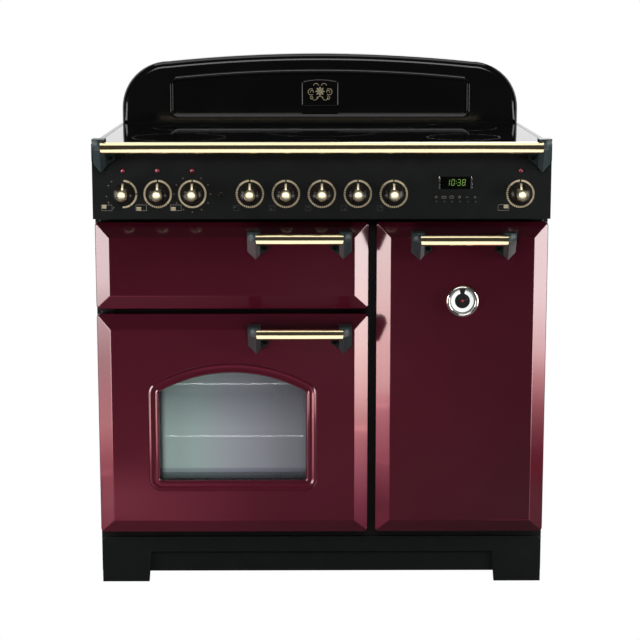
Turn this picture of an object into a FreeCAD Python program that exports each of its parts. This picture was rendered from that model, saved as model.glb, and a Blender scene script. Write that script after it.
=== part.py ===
import FreeCAD, Part
import math
import os
import re

import Sketcher
from FreeCAD import Placement, Rotation, Vector

# A free-standing electric range cooker, 900 mm wide, in millimetres.
# X runs to the right, Y to the back and Z up. The origin is at the bottom centre
# of the whole cooker, so the floor is Z = 0. "Depth" means the distance behind
# the plane of the door faces.

os.makedirs("parts", exist_ok=True)
doc = FreeCAD.newDocument("range_cooker")
sheet = doc.addObject("Spreadsheet::Sheet", "dims")

SIZES = [
    # cabinet
    ("cooker_width", "900", "outside of one side panel to the other"),
    ("terminal_reach", "8", "terminal box behind the side panels"),
    ("sheet_steel", "1.2", "folded sheet"),
    ("frame_depth", "52", "door faces to the front frame"),
    ("frame_plate", "2", "front frame plate"),
    ("frame_radius", "14", "corners of the openings in the front frame"),
    ("chassis_foot", "58", "floor to the bottom edge of the base frame"),
    ("chassis_height", "42", "height of the base frame"),
    ("chassis_beam", "40", "width of the beams of the base frame"),
    ("chassis_wall", "1.5", "sheet of the base frame"),
    ("boss_wall", "6", "boss round the stem of a levelling foot"),
    ("panel_floor_gap", "24", "floor to the bottom edge of a side panel"),
    ("back_flange", "14", "return at the back edge of a side panel"),
    ("hob_tray_height", "34", "hob tray, top to underside"),
    # terminal box and cable inlet
    ("terminal_width", "120", "terminal box"),
    ("terminal_height", "90", "terminal box"),
    ("terminal_across", "250", "middle of the cooker to the terminal box"),
    ("terminal_level", "300", "floor to the middle of the terminal box"),
    ("inlet_radius", "12", "cable inlet hole"),
    ("vent_length", "120", "cooling slot in the back"),
    ("vent_height", "6", "cooling slot in the back"),
    ("vent_pitch", "16", "slot to slot"),
    ("vent_level", "700", "floor to the lowest slot"),
    # plinth
    ("plinth_top", "97", "floor to the top of the plinth"),
    ("plinth_band", "31.5", "height of the band across the plinth"),
    ("plinth_recess", "9", "set back of the middle below the band"),
    ("plinth_middle_gap", "22", "floor to the middle part"),
    ("plinth_leg", "100", "width of a leg of the plinth at the band"),
    ("plinth_leg_slope", "5", "lean of a leg's inner edge"),
    ("plinth_side_gap", "1.5", "side of the cooker to the plinth"),
    ("plinth_radius", "9", "top corners"),
    ("plinth_floor_gap", "2", "floor to a leg of the plinth"),
    ("plinth_front", "43", "door faces to the plinth"),
    # doors
    ("door_floor", "116", "floor to the bottom of the lower doors"),
    ("oven_door_height", "450", "left oven door"),
    ("door_gap", "10", "between the left doors"),
    ("grill_door_height", "174", "grill door"),
    ("top_reveal", "8", "doors to the control panel"),
    ("side_reveal", "3", "side of the cooker to a door"),
    ("split_across", "100.25", "middle of the cooker to the gap between the doors"),
    ("centre_gap", "14.5", "between the left and right doors"),
    ("door_thick", "45", "door with its liner"),
    ("liner_thick", "3", "inner liner"),
    ("door_skin", "1.2", "pressed door skin"),
    ("bevel_width", "29", "bevel round a door, seen from the front"),
    ("bevel_depth", "18", "bevel round a door, front to back"),
    ("door_corner", "8", "outer corner of a door"),
    ("face_corner", "2", "corner of the flat face of a door"),
    ("liner_inset", "2", "edge of a door to its liner"),
    # hinges
    ("hinge_across", "10", "edge of a door to its hinge axis"),
    ("hinge_depth", "38", "door faces to the hinge axis"),
    ("pin_radius", "3", "hinge pin"),
    ("pin_clearance", "0.05", "hinge pin in its hole"),
    ("pin_engage", "7", "hinge pin inside a door"),
    ("hinge_plate", "3", "hinge plate"),
    ("hinge_plate_width", "26", "hinge plate, side to side"),
    ("hinge_nose", "6", "hinge plate in front of its pin"),
    # seals
    ("seal_width", "7", "door seal"),
    ("seal_gap", "0.3", "door seal to a closed door"),
    ("seal_margin", "9", "opening to its seal"),
    # arched window
    ("window_inset", "102", "left edge of the left door to the emboss"),
    ("window_far_inset", "104", "right edge of the left door to the emboss"),
    ("window_floor", "92", "bottom of the left door to the emboss"),
    ("window_shoulder", "225", "straight side of the emboss"),
    ("window_rise", "37", "arch above the shoulders"),
    ("window_corner", "19", "corner of the emboss"),
    ("bead_width", "11", "outer bead of the emboss"),
    ("bead_height", "3", "outer bead of the emboss"),
    ("bead_slope", "3.5", "slope of the beads, seen from the front"),
    ("groove_width", "5", "groove inside the outer bead"),
    ("groove_depth", "2", "groove inside the outer bead"),
    ("inner_bead", "10", "inner bead round the glass"),
    ("inner_bead_height", "1.5", "inner bead round the glass"),
    ("corner_share", "0.3", "how fast the corners tighten towards the glass"),
    ("glass_corner", "10", "corner of the glass opening"),
    ("window_glass", "4", "outer window glass"),
    ("window_lap", "6", "outer glass behind the skin"),
    ("inner_glass_lap", "12", "inner glass behind the opening of the liner"),
    # door handles
    ("bar_out", "32", "door faces to the middle of a handle bar"),
    ("bar_radius", "11", "handle bar"),
    ("handle_length", "205", "handle with its posts"),
    ("bar_clearance", "0.2", "bar in the socket of a post"),
    ("post_width", "25", "handle post"),
    ("post_ridge", "17", "outer side of a post to its ridge"),
    ("post_wall", "1.5", "handle post in front of its bar"),
    ("post_rise", "14", "handle post above the middle of its bar"),
    ("post_drop", "40", "toe of a post below the middle of its bar"),
    ("post_outer_drop", "27", "outer side of a post below the middle of its bar"),
    ("post_inner_drop", "32", "inner side of a post below the middle of its bar"),
    ("post_peak_drop", "4", "peak of a post below the middle of its bar"),
    ("post_top_outer", "30", "door face to the top of a post, outer side"),
    ("post_top_inner", "36", "door face to the top of a post, inner side"),
    ("post_peak_outer", "20", "door face to a post beside its peak, outer side"),
    ("post_peak_inner", "30", "door face to a post beside its peak, inner side"),
    ("post_toe_outer", "2", "door face to the toe of a post, outer side"),
    ("post_toe_ridge", "26", "door face to the toe of a post"),
    ("post_toe_inner", "14", "door face to the toe of a post, inner side"),
    ("lug_width", "16", "foot lug beside a post"),
    ("lug_height", "22", "foot lug beside a post"),
    ("lug_thick", "7", "foot lug beside a post"),
    ("lug_hole", "4.6", "hole in a foot lug"),
    ("lug_drop", "12", "foot lug below the middle of its bar"),
    ("lug_hole_share", "0.38", "top of a lug to its hole, as a share of its height"),
    ("lug_hole_depth", "5", "hole in a foot lug"),
    ("left_handle_inset", "34", "right edge of a left door to its handle"),
    ("grill_bar_drop", "28", "top of the grill door to its bar"),
    ("oven_bar_drop", "32", "top of the left oven door to its bar"),
    ("tall_bar_drop", "30", "top of the right door to its bar"),
    # thermometer
    ("gauge_drop", "155", "top of the right door to the thermometer"),
    ("gauge_radius", "32", "thermometer bezel"),
    ("gauge_proud", "10", "thermometer bezel in front of the door"),
    ("gauge_body", "24", "thermometer body"),
    ("gauge_deep", "14", "thermometer body behind the door face"),
    ("gauge_rim", "7", "width of the bezel"),
    ("gauge_dish", "9", "depth of the dial behind the bezel"),
    ("needle_length", "17", "thermometer needle"),
    ("needle_width", "2.4", "thermometer needle"),
    ("needle_thick", "0.8", "thermometer needle"),
    ("needle_hub", "4", "thermometer needle"),
    ("needle_shaft", "1.5", "thermometer needle shaft"),
    ("needle_lift_share", "0.35", "rise of the needle as a share of its length"),
    ("rim_edge_share", "0.3", "slope at each edge of the bezel, as a share of its width"),
    # control panel
    ("panel_height", "147", "control panel"),
    ("panel_side_gap", "2", "side of the cooker to the control panel"),
    ("panel_skin", "2", "front of the control panel"),
    ("panel_lip", "10", "top edge of the control panel, front to back"),
    ("knob_level", "49.5", "bottom of the control panel to the knobs"),
    ("lamp_level", "95", "bottom of the control panel to the lamps"),
    ("knob_side_inset", "62", "side of the cooker to the outer knobs"),
    ("oven_knob_share", "0.075", "oven knob to oven knob, as a share of the width"),
    ("hob_knob_share", "0.0781", "hob knob to hob knob, as a share of the width"),
    ("shaft_hole", "5", "hole for a knob's shaft"),
    ("lamp_radius", "4.5", "neon lamp lens"),
    ("lamp_body", "3.5", "neon lamp body"),
    ("lamp_length", "18", "neon lamp body"),
    ("lamp_proud", "3", "neon lamp in front of the panel"),
    ("light_button_share", "0.2189", "middle to the light button, as a share of the width"),
    ("light_button_radius", "4.8", "light button"),
    ("light_button_proud", "4.5", "light button in front of the panel"),
    ("light_button_travel", "2", "light button"),
    # knobs
    ("skirt_radius", "20", "knob skirt at the panel"),
    ("skirt_shoulder", "17.5", "knob skirt at its front edge"),
    ("skirt_gap", "0.6", "knob skirt to the panel"),
    ("skirt_depth", "11", "knob skirt"),
    ("neck_radius", "8", "knob neck"),
    ("neck_length", "11", "knob neck"),
    ("grip_radius", "11.5", "knob grip"),
    ("grip_length", "20", "knob grip"),
    ("grip_crown", "3", "dome on the front of a grip"),
    ("shaft_radius", "3", "knob shaft"),
    ("shaft_clearance", "0.05", "knob shaft in its switch"),
    ("shaft_length", "22", "knob shaft behind the panel face"),
    ("switch_size", "40", "switch body, side to side"),
    ("switch_depth", "32", "switch body, front to back"),
    # clock
    ("display_share", "0.2533", "middle to the clock display, as a share of the width"),
    ("display_width", "65.5", "clock display"),
    ("display_height", "24.7", "clock display"),
    ("display_floor", "58.6", "bottom of the control panel to the display"),
    ("display_corner", "1.5", "clock display"),
    ("clock_margin", "6", "clock body round its display and buttons"),
    ("clock_depth", "24", "clock body"),
    ("clock_button_lead", "4.5", "first button to the left edge of the display"),
    ("clock_button_pitch", "15.2", "button to button"),
    ("clock_button_level", "34", "bottom of the control panel to the buttons"),
    ("clock_button_radius", "2.6", "clock button"),
    ("clock_button_proud", "2.5", "clock button in front of the panel"),
    ("clock_button_length", "6", "clock button behind the panel face"),
    ("clock_button_bore", "8", "bore for a clock button behind the panel"),
    ("button_clearance", "0.08", "button in its bore"),
    # hand rail
    ("rail_out", "32", "door faces to the middle of the hand rail"),
    ("rail_radius", "11.5", "hand rail"),
    ("rail_below_top", "5", "top of the hob to the middle of the hand rail"),
    ("rail_inset", "31", "side of the cooker to a rail bracket"),
    ("bracket_share", "1.2", "height of a rail bracket as a share of a handle post"),
    # hob
    ("hob_depth", "550", "door faces to the splashback"),
    ("hob_trim", "10", "trim beside the glass"),
    ("hob_front_trim", "3", "trim in front of the glass"),
    ("glass_thick", "6", "ceramic glass"),
    ("glass_radius", "6", "corner of the ceramic glass"),
    ("tray_wall", "2", "hob tray"),
    ("element_base", "2", "floor of a radiant element"),
    ("element_rim", "4", "rim of a radiant element"),
    ("large_zone", "115", "radius of the large zone"),
    ("medium_zone", "95", "radius of a medium zone"),
    ("small_zone", "75", "radius of a small zone"),
    ("zone_side_inset", "160", "side of the cooker to the outer zones"),
    ("zone_front", "160", "door faces to the front zones"),
    ("zone_back_gap", "140", "back zones to the splashback"),
    # splashback
    ("splash_thick", "50", "splashback, front to back"),
    ("splash_side_gap", "1", "side of the cooker to the splashback"),
    ("splash_height", "155.5", "hob glass to the top of the splashback"),
    ("splash_shoulder", "138", "hob glass to the top of the corner arcs"),
    ("splash_side", "33", "hob glass to the start of the corner arcs"),
    ("splash_round", "16", "rounded edge of the splashback"),
    ("splash_wall", "2", "pressed sheet of the splashback"),
    ("recess_inset", "113", "end of the splashback to the embossed recess"),
    ("recess_floor", "14", "hob glass to the recess"),
    ("recess_side", "101", "hob glass to the top of the recess at its ends"),
    ("recess_crown", "117", "hob glass to the top of the recess in the middle"),
    ("recess_corner", "14", "corner of the recess"),
    ("recess_depth", "5", "embossed recess"),
    ("plaque_half", "42", "raised plaque, half width"),
    ("plaque_floor", "35", "hob glass to the plaque"),
    ("plaque_height", "65", "raised plaque"),
    ("plaque_rise", "4", "arched top of the plaque"),
    ("plaque_proud", "3.5", "raised plaque"),
    # chambers
    ("chamber_wall", "1.2", "enamelled chamber"),
    ("chamber_flange", "14", "flange round the mouth of a chamber"),
    ("oven_side_margin", "50", "edge of an oven door to its chamber"),
    ("tall_side_margin", "38", "edge of the right door to its chamber"),
    ("oven_floor_margin", "100", "bottom of the left door to its chamber"),
    ("oven_roof_margin", "52", "top of the left door to its chamber"),
    ("tall_floor_margin", "90", "bottom of the right door to its chamber"),
    ("tall_roof_margin", "60", "top of the right door to its chamber"),
    ("grill_floor_margin", "32", "bottom of the grill door to its chamber"),
    ("grill_roof_margin", "34", "top of the grill door to its chamber"),
    ("chamber_back_gap", "126", "back of a chamber to the back of the cooker"),
    # shelves and ladders
    ("wire_half", "2.5", "half the thickness of a shelf wire"),
    ("cross_wire_share", "0.7", "width of a cross wire as a share of the outer wires"),
    ("ladder_wire", "2", "half the thickness of a ladder wire"),
    ("ladder_stand", "9", "chamber wall to the middle of a ladder rung"),
    ("ladder_gap", "0.3", "ladder upright to a shelf"),
    ("ladder_margin", "36", "floor of a chamber to the end of an upright"),
    ("shelf_front", "14", "mouth of a chamber to its shelves"),
    ("shelf_back_gap", "56", "shelf to the back of its chamber"),
    ("upright_share", "0.12", "end of a shelf to a ladder upright, as a share of the shelf"),
    ("shelf_bars", "7", "cross wires of a shelf"),
    ("left_shelf_low", "86", "floor of the left chamber to the lower shelf"),
    ("left_shelf_high", "195", "floor of the left chamber to the upper shelf"),
    ("tall_shelf_low", "130", "floor of the right chamber to the lower shelf"),
    ("tall_shelf_high", "330", "floor of the right chamber to the upper shelf"),
    # fans
    ("fan_radius", "68", "fan wheel"),
    ("fan_depth", "18", "fan blade"),
    ("fan_blades", "12", "fan blades"),
    ("fan_hub", "14", "fan hub"),
    ("fan_shaft", "4", "fan shaft"),
    ("fan_nose_share", "0.6", "front of the fan hub as a share of its radius"),
    ("fan_clearance", "0.05", "fan shaft in its motor"),
    ("motor_radius", "38", "fan motor"),
    ("motor_length", "60", "fan motor"),
    ("cover_radius", "88", "fan cover"),
    ("cover_depth", "34", "fan cover"),
    ("cover_sheet", "1.5", "fan cover"),
    ("cover_edge", "9", "sloped edge of the fan cover"),
    ("cover_ring_share", "0.5", "ring of holes as a share of the cover"),
    ("cover_hole_share", "0.14", "hole in the cover as a share of the cover"),
    # grill
    ("grill_tube", "4", "radius of the grill element"),
    ("grill_element_half", "170", "grill element, half width"),
    ("grill_element_start", "120", "mouth of the grill chamber to its element"),
    ("grill_bend_share", "1.1", "bend of the element in from its end, as a share of its tube"),
    ("grill_element_drop", "18", "roof of the grill chamber to its element"),
    ("grill_element_runs", "4", "runs of the grill element"),
    ("pan_side_gap", "2", "round corner of the grill chamber to its pan"),
    ("pan_height", "34", "grill pan"),
    ("pan_wall", "1.5", "grill pan"),
    ("pan_back_gap", "66", "grill pan to the back of its chamber"),
    # feet
    ("foot_radius", "20", "pad of a levelling foot"),
    ("foot_thick", "9", "pad of a levelling foot"),
    ("stem_radius", "5", "stem of a levelling foot"),
    ("stem_length", "80", "levelling foot from the floor to the end of its stem"),
    ("foot_inset_across", "48", "side of the cooker to a foot"),
    ("foot_inset_depth", "50", "end of the base frame to a foot"),
    ("foot_top_share", "0.6", "top of a pad as a share of its radius"),
    ("cut_over", "5", "how far a cutter runs past what it cuts"),
]

for row, (alias, number, meaning) in enumerate(SIZES, start=1):
    sheet.set(f"A{row}", meaning)
    sheet.set(f"B{row}", number)
    sheet.setAlias(f"B{row}", alias)
doc.recompute()

ALIASES = re.compile(r"\b(" + "|".join(alias for alias, number, meaning in SIZES) + r")\b")


def bound(text):
    """The expression with the sheet's name before each of its sizes."""
    return ALIASES.sub(lambda found: "dims." + found.group(1), f"{text}")


def value(text):
    """What an expression of sizes comes to, as a plain number."""
    return float(sheet.evalExpression(bound(text)))


def bind(thing, name, text):
    thing.setExpression(name, bound(text))


# Places that several pieces share, as expressions of the sizes.
HALF = "(cooker_width / 2)"
REACH = "(rail_out + rail_radius + post_wall)"
DEPTH = "(hob_depth + splash_thick)"
FRONT = f"(-({DEPTH} + terminal_reach - {REACH}) / 2)"
OVEN_TOP = "(door_floor + oven_door_height)"
GRILL_FLOOR = f"({OVEN_TOP} + door_gap)"
DOOR_TOP = f"({GRILL_FLOOR} + grill_door_height)"
PANEL_FLOOR = f"({DOOR_TOP} + top_reveal)"
HOB_TOP = f"({PANEL_FLOOR} + panel_height)"
TRAY_FLOOR = f"({HOB_TOP} - hob_tray_height)"
CHASSIS_TOP = "(chassis_foot + chassis_height)"
OUTER_EDGE = f"({HALF} - side_reveal)"
LEFT_EDGE = f"(-{OUTER_EDGE})"
LEFT_DOOR_END = "(split_across - centre_gap / 2)"
RIGHT_DOOR_START = "(split_across + centre_gap / 2)"
INNER_HALF = f"({HALF} - sheet_steel)"
KNOB_LEVEL = f"({PANEL_FLOOR} + knob_level)"


def deep(text):
    """The Y of a place this far behind the door faces."""
    return f"({FRONT} + {text})"


def add(kind, name):
    return doc.addObject(kind, name)


def box(name, x, y, z):
    """A block between two places along each axis."""
    block = add("Part::Box", name)
    for side, centre, (low, high) in zip(("Length", "Width", "Height"), "xyz", (x, y, z)):
        bind(block, side, f"({high}) - ({low})")
        bind(block, f"Placement.Base.{centre}", low)
    return block


TURNS = {
    "x": Rotation(Vector(0, 1, 0), 90),
    "y": Rotation(Vector(1, 0, 0), -90),
    "z": Rotation(),
}


def rod(name, axis, x, y, z, radius, length, cone=None):
    """A cylinder, or a cone, that starts at a place and runs along an axis."""
    solid = add("Part::Cone" if cone else "Part::Cylinder", name)
    solid.Placement = Placement(Vector(), TURNS[axis])
    bind(solid, "Radius1" if cone else "Radius", radius)
    if cone:
        bind(solid, "Radius2", cone)
    bind(solid, "Height", length)
    for centre, text in zip("xyz", (x, y, z)):
        bind(solid, f"Placement.Base.{centre}", text)
    return solid


def group(name, things):
    """Separate solids that share one node."""
    compound = add("Part::Compound", name)
    compound.Links = things
    return compound


def cut(name, base, *tools):
    result = add("Part::Cut", name)
    result.Base = base
    result.Tool = tools[0] if len(tools) == 1 else group(name + "_cutters", list(tools))
    return result


def fuse(name, *things):
    result = add("Part::MultiFuse", name)
    result.Shapes = list(things)
    result.Refine = True
    return result


def mirrored(name, thing, axis="x", about="0"):
    """A copy on the other side of a plane square to an axis."""
    copy = add("Part::Mirroring", name)
    copy.Source = thing
    copy.Normal = Vector(*(1.0 if axis == side else 0.0 for side in "xyz"))
    bind(copy, f"Base.{axis}", about)
    return copy


def both_sides(name, thing):
    return group(name, [thing, mirrored(name + "_other", thing)])


# Sketches. Local x and y are X and Z on the front plane, X and Y on the floor
# plane, and Y and Z on the side plane.
PLANES = {"front": ("XZ_Plane", "-1 * "), "floor": ("XY_Plane", ""), "side": ("YZ_Plane", "")}


def body(name):
    return add("PartDesign::Body", name)


def sketch(owner, name, plane, offset="0"):
    drawing = owner.newObject("Sketcher::SketchObject", name)
    role, sign = PLANES[plane]
    drawing.AttachmentSupport = (
        [feature for feature in owner.Origin.OriginFeatures if feature.Role == role][0], [""])
    drawing.MapMode = "FlatFace"
    bind(drawing, "AttachmentOffset.Base.z", f"{sign}({offset})")
    return drawing


def fix(drawing, kind, item, point, text):
    """A dimension from the sketch's origin to a point, bound to its sizes."""
    number = drawing.addConstraint(
        Sketcher.Constraint(kind, -1, 1, item, point, value(text)))
    bind(drawing, f"Constraints[{number}]", text)


def fix_radius(drawing, item, text):
    number = drawing.addConstraint(Sketcher.Constraint("Radius", item, value(text)))
    bind(drawing, f"Constraints[{number}]", text)


def circle(drawing, x, y, radius):
    centre = Vector(value(x), value(y), 0)
    item = drawing.addGeometry(Part.Circle(centre, Vector(0, 0, 1), value(radius)), False)
    fix(drawing, "DistanceX", item, 3, x)
    fix(drawing, "DistanceY", item, 3, y)
    fix_radius(drawing, item, radius)


def arc_between(start, end, radius, side):
    """The short arc from start to end. Its centre is on the left for side 1."""
    chord = end.sub(start)
    left = Vector(-chord.y, chord.x, 0).normalize()
    height = math.sqrt(max(radius ** 2 - (chord.Length / 2) ** 2, 0))
    centre = start.add(chord.multiply(0.5)).add(left.multiply(side * height))
    whole = Part.Circle(centre, Vector(0, 0, 1), radius)
    first, last = (start, end) if side > 0 else (end, start)
    angles = [math.atan2(point.y - centre.y, point.x - centre.x) for point in (first, last)]
    return Part.ArcOfCircle(whole, angles[0], angles[1])


def outline(drawing, corners):
    """A closed outline. A corner is (x, y), or (x, y, radius, side) where an arc starts."""
    places = [Vector(value(corner[0]), value(corner[1]), 0) for corner in corners]
    items = []
    ends = []
    for index, corner in enumerate(corners):
        start = places[index]
        end = places[(index + 1) % len(corners)]
        if len(corner) == 2:
            items.append(drawing.addGeometry(Part.LineSegment(start, end), False))
            ends.append((1, 2))
        else:
            arc = arc_between(start, end, value(corner[2]), corner[3])
            items.append(drawing.addGeometry(arc, False))
            ends.append((1, 2) if corner[3] > 0 else (2, 1))
    for index, corner in enumerate(corners):
        after = (index + 1) % len(corners)
        drawing.addConstraint(Sketcher.Constraint(
            "Coincident", items[index], ends[index][1], items[after], ends[after][0]))
        fix(drawing, "DistanceX", items[index], ends[index][0], corner[0])
        fix(drawing, "DistanceY", items[index], ends[index][0], corner[1])
        if len(corner) > 2:
            fix_radius(drawing, items[index], corner[2])


def rectangle(drawing, x0, x1, y0, y1, corner=None):
    """A rectangle with round corners where a corner radius is given."""
    if corner is None:
        outline(drawing, [(x0, y0), (x1, y0), (x1, y1), (x0, y1)])
        return
    outline(drawing, [
        (f"{x0} + {corner}", y0), (f"{x1} - {corner}", y0, corner, 1),
        (x1, f"{y0} + {corner}"), (x1, f"{y1} - {corner}", corner, 1),
        (f"{x1} - {corner}", y1), (f"{x0} + {corner}", y1, corner, 1),
        (x0, f"{y1} - {corner}"), (x0, f"{y0} + {corner}", corner, 1)])


def feature(owner, kind, name, profile, length, flip=False):
    made = owner.newObject(f"PartDesign::{kind}", name)
    made.Profile = profile
    bind(made, "Length", length)
    made.Reversed = flip
    return made


def pad(owner, name, profile, length, flip=False):
    return feature(owner, "Pad", name, profile, length, flip)


def pocket(owner, name, profile, length, flip=False):
    """A pocket, checked by volume because one that points away cuts nothing."""
    doc.recompute()
    before = owner.Shape.Volume
    made = feature(owner, "Pocket", name, profile, length, flip)
    doc.recompute()
    if owner.Shape.Volume > before - 1e-6:
        raise RuntimeError(f"{name} cuts nothing")
    return made


def loft(owner, kind, name, first, last):
    made = owner.newObject(f"PartDesign::{kind}", name)
    made.Profile = first
    made.Sections = [last]
    made.Ruled = True
    return made


def turned(name, x, y, z, profile):
    """A turned piece on an axis along Y. The profile is (radius, distance back) pairs."""
    piece = body(name)
    drawing = sketch(piece, name + "_profile", "floor")
    outline(drawing, profile)
    spin = piece.newObject("PartDesign::Revolution", name + "_turn")
    spin.Profile = drawing
    spin.ReferenceAxis = (drawing, ["V_Axis"])
    spin.Angle = 360
    for centre, text in zip("xyz", (x, y, z)):
        bind(piece, f"Placement.Base.{centre}", text)
    return piece


NODES = []


def node(name, thing):
    """Give a finished piece its name."""
    thing.Label = name
    NODES.append(thing)
    return thing


# Base frame: a welded ring of box beams with a cross beam, on four levelling feet.
def base_frame():
    front = deep("frame_depth + frame_plate")
    back = deep(f"{DEPTH} - sheet_steel * 2")
    wall = "chassis_wall"
    outer = box("chassis_outer", (f"-{INNER_HALF}", INNER_HALF), (front, back), ("chassis_foot", CHASSIS_TOP))
    channel = box("chassis_channel", (f"-{INNER_HALF} + {wall}", f"{INNER_HALF} - {wall}"),
                  (f"{front} + {wall}", f"{back} - {wall}"), ("chassis_foot - cut_over", f"{CHASSIS_TOP} - {wall}"))
    bays = []
    webs = []
    for side, low, high in (("left", f"-{INNER_HALF} + chassis_beam", "-chassis_beam / 2"),
                            ("right", "chassis_beam / 2", f"{INNER_HALF} - chassis_beam")):
        y0 = f"{front} + chassis_beam * 2"
        y1 = f"{back} - chassis_beam * 2"
        bays.append(box(f"chassis_bay_{side}", (low, high), (y0, y1),
                        ("chassis_foot - cut_over", f"{CHASSIS_TOP} + cut_over")))
        webs.append(box(f"chassis_web_{side}", (f"{low} - {wall}", f"{high} + {wall}"),
                        (f"{y0} - {wall}", f"{y1} + {wall}"), ("chassis_foot - cut_over * 2", CHASSIS_TOP)))
    ring = cut("chassis_beams", cut("chassis_folds", outer, cut("chassis_hollow", channel, *webs)), *bays)
    bosses = []
    holes = []
    for name, x, y in foot_places():
        bosses.append(rod(f"stem_boss_{name}", "z", x, y, "chassis_foot", "stem_radius + boss_wall",
                          "chassis_height"))
        holes.append(rod(f"stem_hole_{name}", "z", x, y, "chassis_foot - cut_over",
                         "stem_radius + pin_clearance", "stem_length - chassis_foot + cut_over * 2"))
    node("base_frame", cut("base_frame_cut", fuse("chassis_with_bosses", ring, *bosses), *holes))


def foot_places():
    front = deep("frame_depth + frame_plate + foot_inset_depth")
    back = deep(f"{DEPTH} - foot_inset_depth")
    across = f"({HALF} - foot_inset_across)"
    return [("front_left", f"-{across}", front), ("front_right", across, front),
            ("back_left", f"-{across}", back), ("back_right", across, back)]


def levelling_feet():
    feet = []
    for name, x, y in foot_places():
        pad_disc = rod(f"foot_pad_{name}", "z", x, y, "0", "foot_radius", "foot_thick",
                       "foot_radius * foot_top_share")
        stem = rod(f"foot_stem_{name}", "z", x, y, "0", "stem_radius", "stem_length")
        feet.append(fuse(f"foot_{name}", pad_disc, stem))
    node("levelling_feet", group("feet", feet))


# Side panels: folded sheet with a return along the back and along the top.
def side_panels():
    panel = body("side_panel_left")
    plate = sketch(panel, "side_panel_profile", "floor", "panel_floor_gap")
    back = deep(DEPTH)
    outline(plate, [
        (f"-{HALF}", deep("frame_depth")), (f"-{INNER_HALF}", deep("frame_depth")),
        (f"-{INNER_HALF}", f"{back} - sheet_steel"),
        (f"-{INNER_HALF} + back_flange", f"{back} - sheet_steel"),
        (f"-{INNER_HALF} + back_flange", back), (f"-{HALF}", back)])
    pad(panel, "side_panel_pad", plate, f"{TRAY_FLOOR} - panel_floor_gap")
    ledge = sketch(panel, "side_panel_ledge", "floor", f"{TRAY_FLOOR} - sheet_steel")
    rectangle(ledge, f"-{INNER_HALF}", f"-{INNER_HALF} + back_flange",
              deep("frame_depth + frame_plate"), f"{back} - sheet_steel * 2")
    pad(panel, "side_panel_ledge_pad", ledge, "sheet_steel")
    node("side_panels", both_sides("side_panel_pair", panel))


# Back sheet: cooling slots, and the terminal box with its cable inlet.
def back_panel():
    back = deep(f"{DEPTH} - sheet_steel")
    front = f"({back} - sheet_steel)"
    panel = body("back_sheet")
    plate = sketch(panel, "back_sheet_profile", "front", front)
    rectangle(plate, f"-{INNER_HALF}", INNER_HALF, "panel_floor_gap", f"{TRAY_FLOOR}")
    pad(panel, "back_sheet_pad", plate, "sheet_steel", True)
    cover = sketch(panel, "terminal_box", "front", back)
    left = "(terminal_across - terminal_width / 2)"
    right = "(terminal_across + terminal_width / 2)"
    low = "(terminal_level - terminal_height / 2)"
    high = "(terminal_level + terminal_height / 2)"
    rectangle(cover, left, right, low, high, "glass_radius")
    pad(panel, "terminal_box_pad", cover, "sheet_steel + terminal_reach", True)
    inlet = sketch(panel, "cable_inlet", "front", deep(f"{DEPTH} + terminal_reach"))
    circle(inlet, "terminal_across", "terminal_level", "inlet_radius")
    pocket(panel, "cable_inlet_cut", inlet, "terminal_reach + sheet_steel * 3", True)
    for side, sign in (("left", "-1 * "), ("right", "")):
        slots = sketch(panel, f"vents_{side}", "front", deep(DEPTH))
        for index in range(4):
            low = f"(vent_level + {index} * vent_pitch)"
            middle = f"({sign}{HALF} / 2)"
            rectangle(slots, f"({middle} - vent_length / 2)", f"({middle} + vent_length / 2)",
                      low, f"({low} + vent_height)")
        pocket(panel, f"vents_{side}_cut", slots, "sheet_steel * 3", True)
    node("back_panel", panel)


# Plinth: a pressed front with a band, two leaning legs and a set-back middle.
def plinth():
    half = f"({HALF} - plinth_side_gap)"
    front = deep("plinth_front")
    band_floor = "(plinth_top - plinth_band)"
    piece = body("plinth_body")
    face = sketch(piece, "plinth_face", "front", front)
    inner = f"({half} - plinth_leg)"
    inner_low = f"({half} - plinth_leg + plinth_leg_slope)"
    outline(face, [
        (f"-{half}", "plinth_floor_gap"), (f"-{inner_low}", "plinth_floor_gap"),
        (f"-{inner}", band_floor), (inner, band_floor),
        (inner_low, "plinth_floor_gap"), (half, "plinth_floor_gap"),
        (half, "plinth_top - plinth_radius", "plinth_radius", 1),
        (f"{half} - plinth_radius", "plinth_top"),
        (f"-{half} + plinth_radius", "plinth_top", "plinth_radius", 1),
        (f"-{half}", "plinth_top - plinth_radius")])
    pad(piece, "plinth_pad", face, "frame_depth - plinth_front", True)
    middle = sketch(piece, "plinth_middle", "front", f"{front} + plinth_recess - sheet_steel")
    rectangle(middle, f"-{inner_low}", inner_low, "plinth_middle_gap", f"{band_floor} + sheet_steel")
    pad(piece, "plinth_middle_pad", middle, "frame_depth - plinth_front - plinth_recess + sheet_steel", True)
    node("plinth", piece)


# Chambers. Each is given by its door's edges and the margins from them.
CHAMBERS = {
    "grill": (f"({LEFT_EDGE} + oven_side_margin)", f"({LEFT_DOOR_END} - oven_side_margin)",
              f"({GRILL_FLOOR} + grill_floor_margin)", f"({DOOR_TOP} - grill_roof_margin)"),
    "left_oven": (f"({LEFT_EDGE} + oven_side_margin)", f"({LEFT_DOOR_END} - oven_side_margin)",
                  "(door_floor + oven_floor_margin)", f"({OVEN_TOP} - oven_roof_margin)"),
    "right_oven": (f"({RIGHT_DOOR_START} + tall_side_margin)", f"({OUTER_EDGE} - tall_side_margin)",
                   "(door_floor + tall_floor_margin)", f"({DOOR_TOP} - tall_roof_margin)"),
}
MOUTH = deep("frame_depth + frame_plate")
CHAMBER_DEPTH = f"({DEPTH} - frame_depth - frame_plate - chamber_back_gap)"
CHAMBER_BACK = f"({MOUTH} + {CHAMBER_DEPTH})"
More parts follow.
